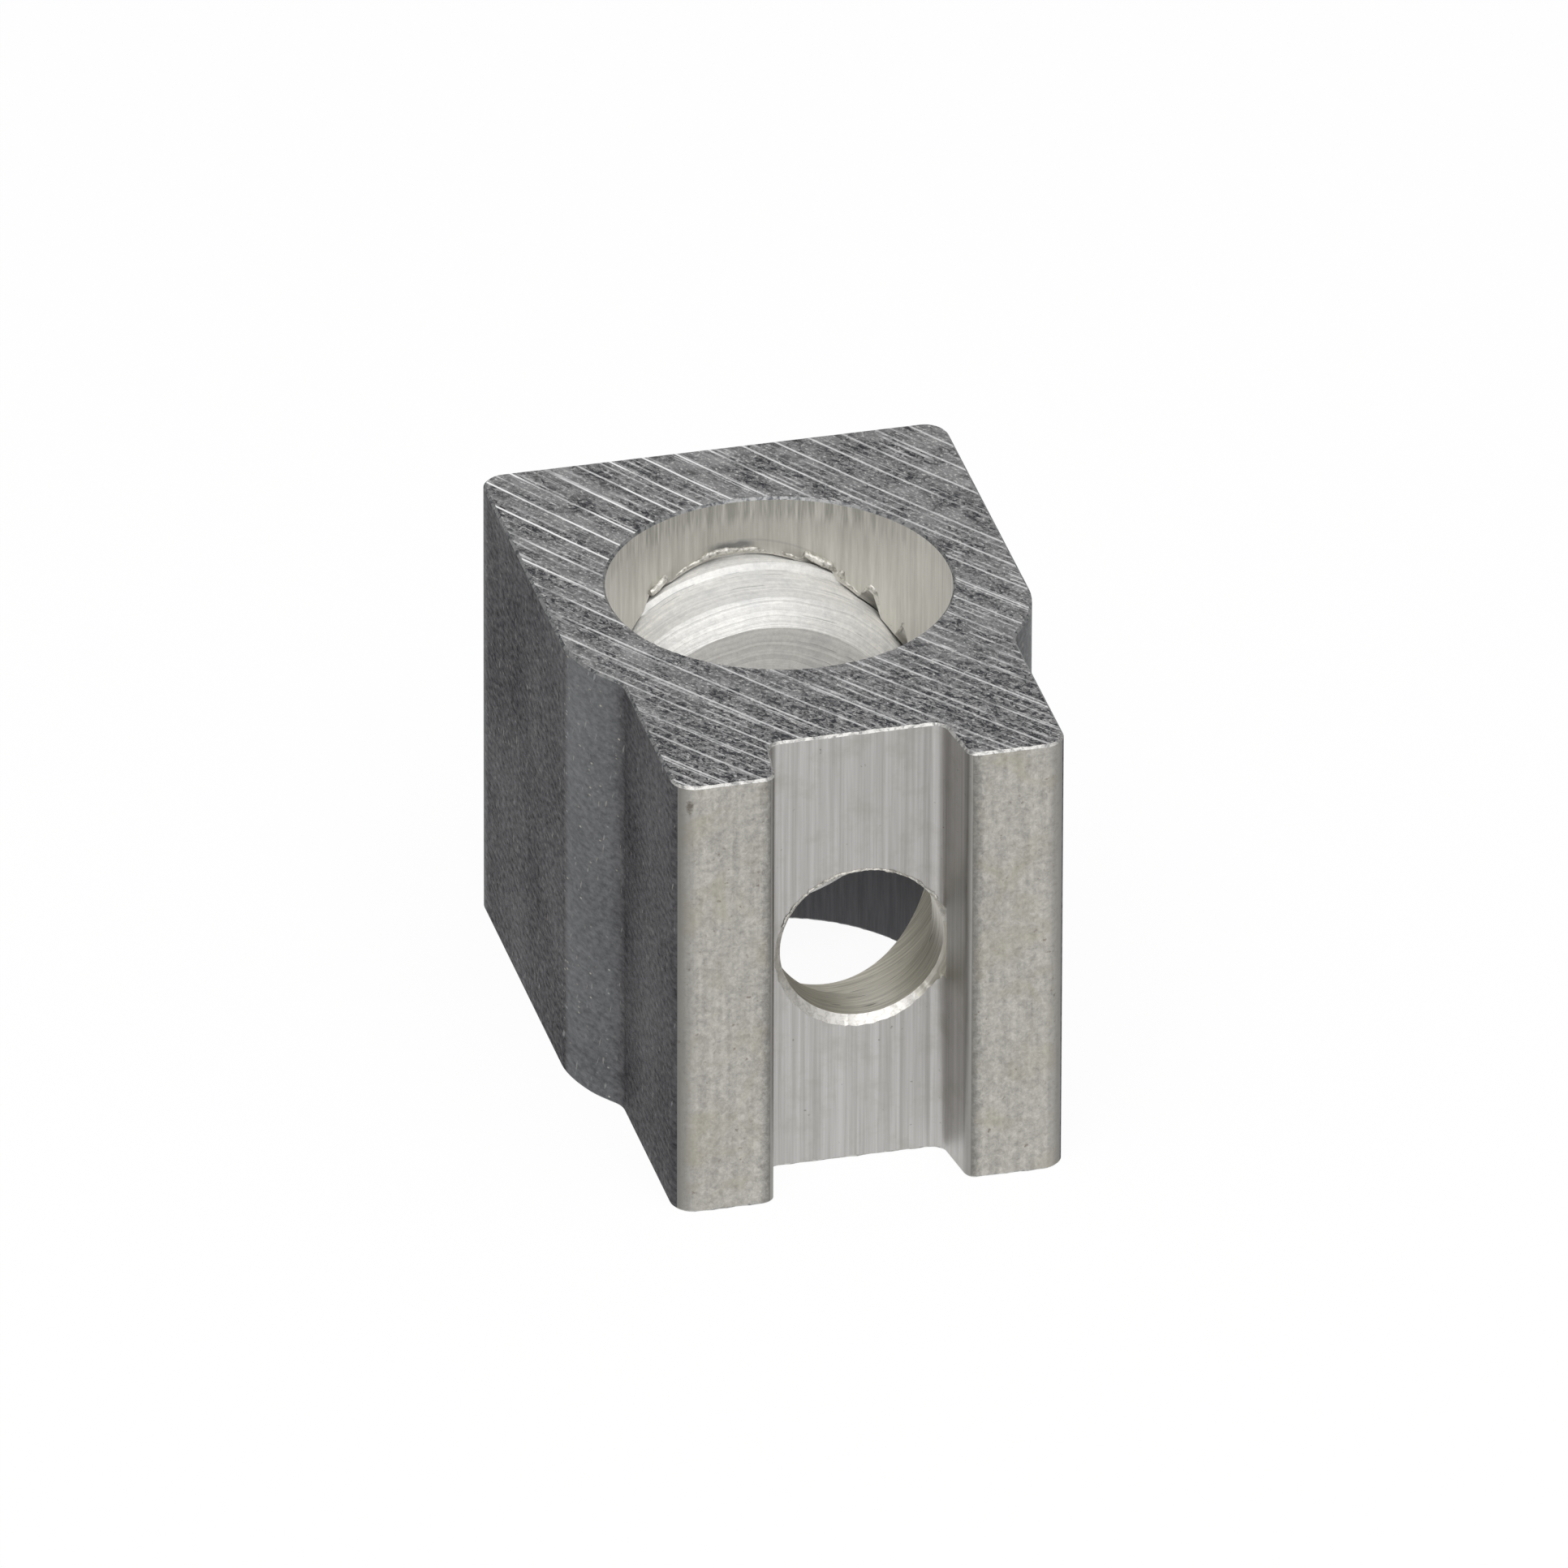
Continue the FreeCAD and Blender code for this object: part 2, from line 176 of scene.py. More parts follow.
def tooth_marks(finish, flat, along):
    """How bright a tooth's mark is at each spot, from 0 to 1."""
    drift = add(finish, "ShaderNodeTexNoise", {"Vector": flat, "Scale": 0.25, "Detail": 1.0}).outputs[0]
    radius = add(finish, "ShaderNodeVectorMath", {
        0: flat, 1: SAW_CENTRE,
    }, operation="DISTANCE").outputs["Value"]
    radius = add(finish, "ShaderNodeMath", {
        0: drift, 1: 0.12, 2: radius,
    }, operation="MULTIPLY_ADD").outputs[0]
    # the proud teeth's marks, about 0.1 mm wide, strongest at the back left
    beat = add(finish, "ShaderNodeMath", {0: radius, 1: MIDWAY}, operation="SUBTRACT").outputs[0]
    beat = add(finish, "ShaderNodeMath", {0: beat, 1: MARK_SPACING}, operation="DIVIDE").outputs[0]
    phase = add(finish, "ShaderNodeMath", {0: beat}, operation="FRACT").outputs[0]
    away = add(finish, "ShaderNodeMath", {0: phase, 1: 0.5}, operation="SUBTRACT").outputs[0]
    away = add(finish, "ShaderNodeMath", {0: away}, operation="ABSOLUTE").outputs[0]
    deep = add(finish, "ShaderNodeMapRange", {VALUE: away, FROM_LOW: 0.062, FROM_HIGH: 0.03}).outputs[0]
    corner = add(finish, "ShaderNodeVectorMath", {
        0: flat, 1: (-9.8, 11.6, 0.0),
    }, operation="DISTANCE").outputs["Value"]
    corner = add(finish, "ShaderNodeMapRange", {
        VALUE: corner, FROM_LOW: 6.0, FROM_HIGH: 17.0, TO_LOW: 1.0, TO_HIGH: 0.65,
    }).outputs[0]
    strong = add(finish, "ShaderNodeTexNoise", {"Vector": along, "Scale": 0.3, "Detail": 3.0}).outputs[0]
    strong = add(finish, "ShaderNodeMapRange", {
        VALUE: strong, FROM_LOW: 0.34, FROM_HIGH: 0.52, TO_LOW: 0.2,
    }).outputs[0]
    deep = add(finish, "ShaderNodeMath", {0: deep, 1: strong}, operation="MULTIPLY").outputs[0]
    deep = add(finish, "ShaderNodeMath", {0: deep, 1: corner}, operation="MULTIPLY").outputs[0]
    # the finer marks of the other teeth
    fine = add(finish, "ShaderNodeTexNoise", {
        "W": radius, "Scale": 3.8, "Detail": 4.0, "Roughness": 0.75,
    }, noise_dimensions="1D").outputs[0]
    fine = add(finish, "ShaderNodeMapRange", {
        VALUE: fine, FROM_LOW: 0.54, FROM_HIGH: 0.63, TO_HIGH: 0.6,
    }).outputs[0]
    broken = add(finish, "ShaderNodeTexNoise", {"Vector": along, "Scale": 0.9, "Detail": 3.0}).outputs[0]
    broken = add(finish, "ShaderNodeMapRange", {VALUE: broken, FROM_LOW: 0.4, FROM_HIGH: 0.58}).outputs[0]
    fine = add(finish, "ShaderNodeMath", {0: fine, 1: broken}, operation="MULTIPLY").outputs[0]
    marks = add(finish, "ShaderNodeMath", {0: deep, 1: fine}, operation="MAXIMUM").outputs[0]
    return marks


# %% [markdown]
# ### Both together
# The torn ground is drawn out a little along the cut, the marks lie over it, and the bump
# is raised where a tooth ploughed and sunk where the metal tore.

# %% Sawn aluminium
CUT_ANGLE = math.radians(-55.5)


def sawn_aluminium():
    """Bare aluminium, sawn dry: torn dark flecks, bright tooth marks, hardly any gloss."""
    finish, shader, place = new_finish("sawn_aluminium")
    flat = add(finish, "ShaderNodeMapping", {"Vector": place, "Scale": (1000, 1000, 0)}).outputs[0]
    # the same coordinates turned along the cut, and drawn out 1.5 times along it
    along = add(finish, "ShaderNodeMapping", {
        "Vector": place, "Rotation": (0, 0, CUT_ANGLE), "Scale": (0.0015, 0.001, 0.001),
    }, vector_type="TEXTURE").outputs[0]
    ground, dark = torn_ground(finish, flat, along)
    marks = tooth_marks(finish, flat, along)
    colour = add(finish, "ShaderNodeMix", {
        PART: marks, UNDER: ground, OVER: linear("ffffff"),
    }, data_type="RGBA").outputs[MIXED]
    relief = add(finish, "ShaderNodeMath", {0: marks, 1: dark}, operation="SUBTRACT").outputs[0]
    bump = add(finish, "ShaderNodeBump", {
        "Height": relief, "Strength": 0.4, "Distance": 0.00003,
    }).outputs[0]
    matt = add(finish, "ShaderNodeMapRange", {VALUE: marks, TO_LOW: 0.52, TO_HIGH: 0.85}).outputs[0]
    connect(finish, shader, {"Base Color": colour, "Roughness": matt, "Normal": bump})
    return finish


SAWN = made(sawn_aluminium())

# %% [markdown]
# ### Extruded skin
# The die drags fine lines along the metal, and handling dulls it. The sides and the back
# have a dark grey oxide skin with pale nicks, its darkness partly painted shade, the jaws'
# fronts are lighter and stained, and the groove between them was last rubbed bright by the
# die. All three are the same metal, so one idea serves them all: a fine noise for the grain or
# the drawn lines, a soft one for clouds and stains, and thresholds on a small one for specks.
# The sides' painted reflection and wear come first.

# %% Painted reflection and wear on the sides
def painted_reflection_bands(finish, along):
    """How much each spot is painted paler as reflection, by its place from front to back."""
    # painted reflection: the shoulder and the back corner are painted paler, for the white surroundings
    # that their curves mirror
    start = add(finish, "ShaderNodeMapRange", {VALUE: along, FROM_LOW: -3.1, FROM_HIGH: -3.6}).outputs[0]
    stop = add(finish, "ShaderNodeMapRange", {VALUE: along, FROM_LOW: -7.0, FROM_HIGH: -6.0}).outputs[0]
    shoulder = add(finish, "ShaderNodeMath", {0: start, 1: stop}, operation="MULTIPLY").outputs[0]
    corner = add(finish, "ShaderNodeMapRange", {VALUE: along, FROM_LOW: 9.9, FROM_HIGH: 10.8}).outputs[0]
    rubbed_and_reflection = add(finish, "ShaderNodeMath", {0: shoulder, 1: corner}, operation="MAXIMUM").outputs[0]
    return rubbed_and_reflection


def nicks_and_scratches(finish, place, drawn, along):
    """How much each spot is scraped bare, and a random colour for each nick."""
    # nicks of about 0.1 mm, in a third of the cells
    cells = add(finish, "ShaderNodeTexVoronoi", {"Vector": drawn, "Scale": 3.6})
    near_middle = add(finish, "ShaderNodeMapRange", {
        VALUE: cells.outputs["Distance"], FROM_LOW: 0.19, FROM_HIGH: 0.07,
    }).outputs[0]
    chosen = add(finish, "ShaderNodeSeparateColor", {0: cells.outputs["Color"]}).outputs["Red"]
    chosen = add(finish, "ShaderNodeMapRange", {VALUE: chosen, FROM_LOW: 0.55, FROM_HIGH: 1.0}).outputs[0]
    nicks = add(finish, "ShaderNodeMath", {0: near_middle, 1: chosen}, operation="MULTIPLY").outputs[0]
    smooth = add(finish, "ShaderNodeMapRange", {VALUE: along, FROM_LOW: -14.9, FROM_HIGH: -14.3}).outputs[0]
    nicks = add(finish, "ShaderNodeMath", {0: nicks, 1: smooth}, operation="MULTIPLY").outputs[0]
    # hair-thin scratches 0.3 to 0.8 mm long, drawn out mostly upwards
    slanted = add(finish, "ShaderNodeMapping", {
        "Vector": place, "Rotation": (0.15, 0.2, 0), "Scale": (0.001, 0.001, 0.005),
    }, vector_type="TEXTURE").outputs[0]
    scratch = add(finish, "ShaderNodeTexNoise", {"Vector": slanted, "Scale": 6.5, "Detail": 1.0}).outputs[0]
    scratch = add(finish, "ShaderNodeMapRange", {
        VALUE: scratch, FROM_LOW: 0.7, FROM_HIGH: 0.76, TO_HIGH: 0.4,
    }).outputs[0]
    worn = add(finish, "ShaderNodeMath", {0: nicks, 1: scratch}, operation="MAXIMUM").outputs[0]
    return worn, cells.outputs["Color"]


# %% [markdown]
# ### Dark skin
# Under that wear the skin is a fine grain over soft clouds, between two greys whose darkness
# is partly painted shade. Any metal turns into a white mirror when it is seen along its
# surface. The specular tint holds that back to a grey here, as the oxide does on the real side.

# %% Dark extruded sides
def extruded_side():
    """Mill-finish aluminium with a dark oxide skin, partly painted shade, and pale nicks from handling."""
    finish, shader, place = new_finish("extruded_side")
    mm = add(finish, "ShaderNodeMapping", {"Vector": place, "Scale": (1000, 1000, 1000)}).outputs[0]
    # fine grain, drawn out 2.5 times across the extrusion, and soft clouds
    drawn = add(finish, "ShaderNodeMapping", {"Vector": place, "Scale": (1000, 400, 1000)}).outputs[0]
    grain = add(finish, "ShaderNodeTexNoise", {
        "Vector": drawn, "Scale": 5.0, "Detail": 4.0, "Roughness": 0.7,
    }).outputs[0]
    clouds = add(finish, "ShaderNodeTexNoise", {"Vector": mm, "Scale": 0.15, "Detail": 2.0}).outputs[0]
    tone = add(finish, "ShaderNodeMix", {
        PART: 0.7, VALUE_UNDER: clouds, VALUE_OVER: grain,
    }, data_type="FLOAT").outputs[0]
    tone = add(finish, "ShaderNodeMapRange", {VALUE: tone, FROM_LOW: 0.34, FROM_HIGH: 0.66}).outputs[0]
    # the two dark greys are partly painted shade, and partly the oxide skin
    skin = add(finish, "ShaderNodeMix", {
        PART: tone, UNDER: linear("3f3e41"), OVER: linear("6b6a6c"),
    }, data_type="RGBA").outputs[MIXED]
    along = add(finish, "ShaderNodeSeparateXYZ", {0: mm}).outputs["Y"]
    # painted reflection: paler bands on the shoulder and the back corner
    rubbed_and_reflection = painted_reflection_bands(finish, along)
    paler = add(finish, "ShaderNodeMix", {
        PART: tone, UNDER: linear("5a5b5d"), OVER: linear("838486"),
    }, data_type="RGBA").outputs[MIXED]
    skin = add(finish, "ShaderNodeMix", {
        PART: rubbed_and_reflection, UNDER: skin, OVER: paler,
    }, data_type="RGBA").outputs[MIXED]
    worn, chance = nicks_and_scratches(finish, place, drawn, along)
    nick = add(finish, "ShaderNodeMix", {
        PART: chance, UNDER: linear("b6bcc2"), OVER: linear("bdb6a2"),
    }, data_type="RGBA").outputs[MIXED]
    colour = add(finish, "ShaderNodeMix", {
        PART: worn, UNDER: skin, OVER: nick,
    }, data_type="RGBA").outputs[MIXED]
    # seen along the surface, the skin still isn't a mirror, and its grain stays visible
    sheen = add(finish, "ShaderNodeMix", {
        PART: tone, UNDER: linear("a2a2a2"), OVER: linear("f2f2f2"),
    }, data_type="RGBA").outputs[MIXED]
    # the painted reflection bands raise the tint as well
    sheen = add(finish, "ShaderNodeMix", {
        PART: rubbed_and_reflection, UNDER: sheen, OVER: linear("ececeb"),
    }, data_type="RGBA").outputs[MIXED]
    sheen = add(finish, "ShaderNodeMix", {
        PART: worn, UNDER: sheen, OVER: linear("ffffff"),
    }, data_type="RGBA").outputs[MIXED]
    bump = add(finish, "ShaderNodeBump", {"Height": tone, "Strength": 0.15, "Distance": 0.00002}).outputs[0]
    connect(finish, shader, {
        "Base Color": colour, "Specular Tint": sheen, "Normal": bump, "Roughness": 0.55,
    })
    return finish


SIDE = made(extruded_side())

# %% [markdown]
# ### Fronts of the jaws
# These two faces slide over the die's outer land and then lie open to handling. They are
# paler than the sides, whose grey is partly painted shade, and carry faint yellow and brown
# stains. A mottle with a little of the die's lines in it gives the satin grain. Each rounded
# border is darkened with painted shade, and one deep stain sits high on the left jaw.

# %% Borders and stain of the jaws
STAIN = (-7.6, -15.6, 19.0)


def painted_border_shade(finish, mm, mottle):
    """How much painted shade each spot gets, by its distance from the jaws' borders."""
    across = add(finish, "ShaderNodeSeparateXYZ", {0: mm}).outputs["X"]
    across = add(finish, "ShaderNodeMath", {0: across}, operation="ABSOLUTE").outputs[0]
    across = add(finish, "ShaderNodeMath", {
        0: mottle, 1: 0.5, 2: across,
    }, operation="MULTIPLY_ADD").outputs[0]
    inner = add(finish, "ShaderNodeMapRange", {
        VALUE: across, FROM_LOW: 4.95, FROM_HIGH: 4.5, TO_HIGH: 0.75,
    }).outputs[0]
    outer = add(finish, "ShaderNodeMapRange", {
        VALUE: across, FROM_LOW: 7.6, FROM_HIGH: 8.3, TO_HIGH: 0.8,
    }).outputs[0]
    border_shade = add(finish, "ShaderNodeMath", {0: inner, 1: outer}, operation="MAXIMUM").outputs[0]
    return border_shade


def deep_stain(finish, mm, mottle):
    """How much each spot is stained, by its distance from a place on the left jaw."""
    stain = add(finish, "ShaderNodeVectorMath", {0: mm, 1: STAIN}, operation="SUBTRACT").outputs[0]
    stain = add(finish, "ShaderNodeVectorMath", {
        0: stain, 1: (1.4, 0.3, 0.75),
    }, operation="MULTIPLY").outputs[0]
    stain = add(finish, "ShaderNodeVectorMath", {0: stain}, operation="LENGTH").outputs["Value"]
    stain = add(finish, "ShaderNodeMath", {
        0: mottle, 1: 0.5, 2: stain,
    }, operation="MULTIPLY_ADD").outputs[0]
    stain = add(finish, "ShaderNodeMapRange", {
        VALUE: stain, FROM_LOW: 0.5, FROM_HIGH: 0.34, TO_HIGH: 0.65,
    }).outputs[0]
    return stain


# %% [markdown]
# ### Satin metal of the jaws
# Each layer is mixed over the last: the satin ground, yellow clouds, brown pits of about
# 0.15 mm, the painted shade on the borders, and the stain. So one can be left out or changed by itself.

# %% Stained fronts of the jaws
def extruded_front():
    """Mill-finish aluminium, pale and satin, with faint yellow and brown stains."""
    finish, shader, place = new_finish("extruded_front")
    mm = add(finish, "ShaderNodeMapping", {"Vector": place, "Scale": (1000, 1000, 1000)}).outputs[0]
    drawn = add(finish, "ShaderNodeMapping", {"Vector": place, "Scale": (1000, 1000, 60)}).outputs[0]
    lines = add(finish, "ShaderNodeTexNoise", {
        "Vector": drawn, "Scale": 3.5, "Detail": 3.0, "Roughness": 0.6,
    }).outputs[0]
    mottle = add(finish, "ShaderNodeTexNoise", {
        "Vector": mm, "Scale": 4.0, "Detail": 6.0, "Roughness": 0.8, "Distortion": 0.4,
    }).outputs[0]
    tone = add(finish, "ShaderNodeMix", {
        PART: 0.25, VALUE_UNDER: mottle, VALUE_OVER: lines,
    }, data_type="FLOAT").outputs[0]
    tone = add(finish, "ShaderNodeMapRange", {VALUE: tone, FROM_LOW: 0.36, FROM_HIGH: 0.64}).outputs[0]
    metal = add(finish, "ShaderNodeMix", {
        PART: tone, UNDER: linear("9b9893"), OVER: linear("cfccc5"),
    }, data_type="RGBA").outputs[MIXED]
    clouds = add(finish, "ShaderNodeTexNoise", {
        "Vector": mm, "Scale": 0.45, "Detail": 4.0, "Roughness": 0.6, "Distortion": 0.8,
    }).outputs[0]
    yellow = add(finish, "ShaderNodeMapRange", {
        VALUE: clouds, FROM_LOW: 0.5, FROM_HIGH: 0.68, TO_HIGH: 0.4,
    }).outputs[0]
    metal = add(finish, "ShaderNodeMix", {
        PART: yellow, UNDER: metal, OVER: linear("aaa591"),
    }, data_type="RGBA").outputs[MIXED]
    pits = add(finish, "ShaderNodeTexNoise", {"Vector": mm, "Scale": 3.3, "Detail": 2.0}).outputs[0]
    pits = add(finish, "ShaderNodeMapRange", {
        VALUE: pits, FROM_LOW: 0.3, FROM_HIGH: 0.22, TO_HIGH: 0.6,
    }).outputs[0]
    metal = add(finish, "ShaderNodeMix", {
        PART: pits, UNDER: metal, OVER: linear("6f6458"),
    }, data_type="RGBA").outputs[MIXED]
    # painted shade along the rounded borders of both jaws
    border_shade = painted_border_shade(finish, mm, mottle)
    metal = add(finish, "ShaderNodeMix", {
        PART: border_shade, UNDER: metal, OVER: linear("6f6e6a"),
    }, data_type="RGBA").outputs[MIXED]
    stain = deep_stain(finish, mm, mottle)
    metal = add(finish, "ShaderNodeMix", {
        PART: stain, UNDER: metal, OVER: linear("52483e"),
    }, data_type="RGBA").outputs[MIXED]
    bump = add(finish, "ShaderNodeBump", {"Height": tone, "Strength": 0.12, "Distance": 0.00002}).outputs[0]
    connect(finish, shader, {"Base Color": metal, "Normal": bump, "Roughness": 0.5})
    return finish


JAW = made(extruded_front())

# %% [markdown]
# ### Groove
# The tongue of the die rubs the groove, so it shows lines more than any other face. They run
# the whole height of the lug. The noise is stretched about 80 times along Z, so that a line
# is longer than the lug, and yet changes a little on its way.

# %% Lined groove
def extruded_groove():
    """Aluminium rubbed by the die: fine bright and dull lines all the way along."""
    finish, shader, place = new_finish("extruded_groove")
    mm = add(finish, "ShaderNodeMapping", {"Vector": place, "Scale": (1000, 1000, 1000)}).outputs[0]
    drawn = add(finish, "ShaderNodeMapping", {"Vector": place, "Scale": (1000, 1000, 12)}).outputs[0]
    lines = add(finish, "ShaderNodeTexNoise", {
        "Vector": drawn, "Scale": 5.5, "Detail": 4.0, "Roughness": 0.75,
    }).outputs[0]
    tone = add(finish, "ShaderNodeMapRange", {VALUE: lines, FROM_LOW: 0.34, FROM_HIGH: 0.66}).outputs[0]
    metal = add(finish, "ShaderNodeMix", {
        PART: tone, UNDER: linear("acaaa7"), OVER: linear("c6c4c2"),
    }, data_type="RGBA").outputs[MIXED]
    clouds = add(finish, "ShaderNodeTexNoise", {
        "Vector": mm, "Scale": 0.7, "Detail": 5.0, "Roughness": 0.65,
    }).outputs[0]
    dull = add(finish, "ShaderNodeMapRange", {
        VALUE: clouds, FROM_LOW: 0.5, FROM_HIGH: 0.7, TO_HIGH: 0.35,
    }).outputs[0]
    metal = add(finish, "ShaderNodeMix", {
        PART: dull, UNDER: metal, OVER: linear("9c998c"),
    }, data_type="RGBA").outputs[MIXED]
    pits = add(finish, "ShaderNodeTexNoise", {"Vector": mm, "Scale": 3.8, "Detail": 2.0}).outputs[0]
    pits = add(finish, "ShaderNodeMapRange", {
        VALUE: pits, FROM_LOW: 0.27, FROM_HIGH: 0.2, TO_HIGH: 0.6,
    }).outputs[0]
    metal = add(finish, "ShaderNodeMix", {
        PART: pits, UNDER: metal, OVER: linear("6a655c"),
    }, data_type="RGBA").outputs[MIXED]
    # painted shade: the rounds at the groove's mouth are darker towards the front
    mouth = add(finish, "ShaderNodeSeparateXYZ", {0: mm}).outputs["Y"]
    mouth = add(finish, "ShaderNodeMapRange", {
        VALUE: mouth, FROM_LOW: -15.0, FROM_HIGH: -15.4, TO_HIGH: 0.5,
    }).outputs[0]
    metal = add(finish, "ShaderNodeMix", {
        PART: mouth, UNDER: metal, OVER: linear("77756f"),
    }, data_type="RGBA").outputs[MIXED]
    bump = add(finish, "ShaderNodeBump", {"Height": lines, "Strength": 0.2, "Distance": 0.00002}).outputs[0]
    connect(finish, shader, {"Base Color": metal, "Normal": bump, "Roughness": 0.45})
    return finish


GROOVE = made(extruded_groove())

# %% [markdown]
# ### Wall of the wire hole
# The mandrel of the die draws this wall paler and cleaner than the outside. Near the sawn
# top it is streaked grey, where the saw's chips rubbed it, and the streaks end raggedly
# about 1 mm down. A smudge stands above the place where the tap broke through. Both are
# worked out from places and distances, so they stay put if the noise is changed.

# %% Marks of the saw's chips and of the tap
SMUDGE_RADIUS, SCRATCH_RADIUS = 7.86, 8.06


def chip_band(finish, height, lines):
    """How much each spot is rubbed by chips: a band 0.6 to 1.4 mm deep under both sawn ends."""
    from_middle = add(finish, "ShaderNodeMath", {0: height, 1: MIDDLE}, operation="SUBTRACT").outputs[0]
    up = add(finish, "ShaderNodeMath", {0: from_middle}, operation="ABSOLUTE").outputs[0]
    depth = add(finish, "ShaderNodeMath", {0: MIDDLE, 1: up}, operation="SUBTRACT").outputs[0]
    ends = add(finish, "ShaderNodeMath", {0: lines, 1: 1.8, 2: depth}, operation="MULTIPLY_ADD").outputs[0]
    rubbed_and_reflection = add(finish, "ShaderNodeMapRange", {
        VALUE: ends, FROM_LOW: 2.1, FROM_HIGH: 1.6, TO_HIGH: 0.85,
    }).outputs[0]
    return rubbed_and_reflection


def tap_smudge(finish, mm, across):
    """How dark each spot is from the tap: a smudge over its breakout, and a faint scratch."""
    from_screw = add(finish, "ShaderNodeVectorMath", {
        0: mm, 1: (0, 0, MIDDLE),
    }, operation="SUBTRACT").outputs[0]
    from_screw = add(finish, "ShaderNodeVectorMath", {
        0: from_screw, 1: (1, 0, 1),
    }, operation="MULTIPLY").outputs[0]
    out = add(finish, "ShaderNodeVectorMath", {0: from_screw}, operation="LENGTH").outputs["Value"]
    blots = add(finish, "ShaderNodeTexNoise", {"Vector": mm, "Scale": 2.4, "Detail": 3.0}).outputs[0]
    ring = add(finish, "ShaderNodeMath", {0: out, 1: SMUDGE_RADIUS}, operation="SUBTRACT").outputs[0]
    ring = add(finish, "ShaderNodeMath", {0: ring}, operation="ABSOLUTE").outputs[0]
    ring = add(finish, "ShaderNodeMath", {0: blots, 1: 0.3, 2: ring}, operation="MULTIPLY_ADD").outputs[0]
    ring = add(finish, "ShaderNodeMapRange", {
        VALUE: ring, FROM_LOW: 0.4, FROM_HIGH: 0.2, TO_HIGH: 0.75,
    }).outputs[0]
    beside = add(finish, "ShaderNodeMath", {0: across, 1: 0.2}, operation="ADD").outputs[0]
    beside = add(finish, "ShaderNodeMath", {0: beside}, operation="ABSOLUTE").outputs[0]
    beside = add(finish, "ShaderNodeMapRange", {VALUE: beside, FROM_LOW: 1.1, FROM_HIGH: 0.6}).outputs[0]
    smudge = add(finish, "ShaderNodeMath", {0: ring, 1: beside}, operation="MULTIPLY").outputs[0]
    hair = add(finish, "ShaderNodeMath", {0: out, 1: SCRATCH_RADIUS}, operation="SUBTRACT").outputs[0]
    hair = add(finish, "ShaderNodeMath", {0: hair}, operation="ABSOLUTE").outputs[0]
    hair = add(finish, "ShaderNodeMapRange", {
        VALUE: hair, FROM_LOW: 0.07, FROM_HIGH: 0.02, TO_HIGH: 0.18,
    }).outputs[0]
    reach = add(finish, "ShaderNodeMath", {0: across, 1: 1.2}, operation="SUBTRACT").outputs[0]
    reach = add(finish, "ShaderNodeMath", {0: reach}, operation="ABSOLUTE").outputs[0]
    reach = add(finish, "ShaderNodeMapRange", {VALUE: reach, FROM_LOW: 3.0, FROM_HIGH: 1.5}).outputs[0]
    hair = add(finish, "ShaderNodeMath", {0: hair, 1: reach}, operation="MULTIPLY").outputs[0]
    smudge = add(finish, "ShaderNodeMath", {0: smudge, 1: hair}, operation="MAXIMUM").outputs[0]
    return smudge
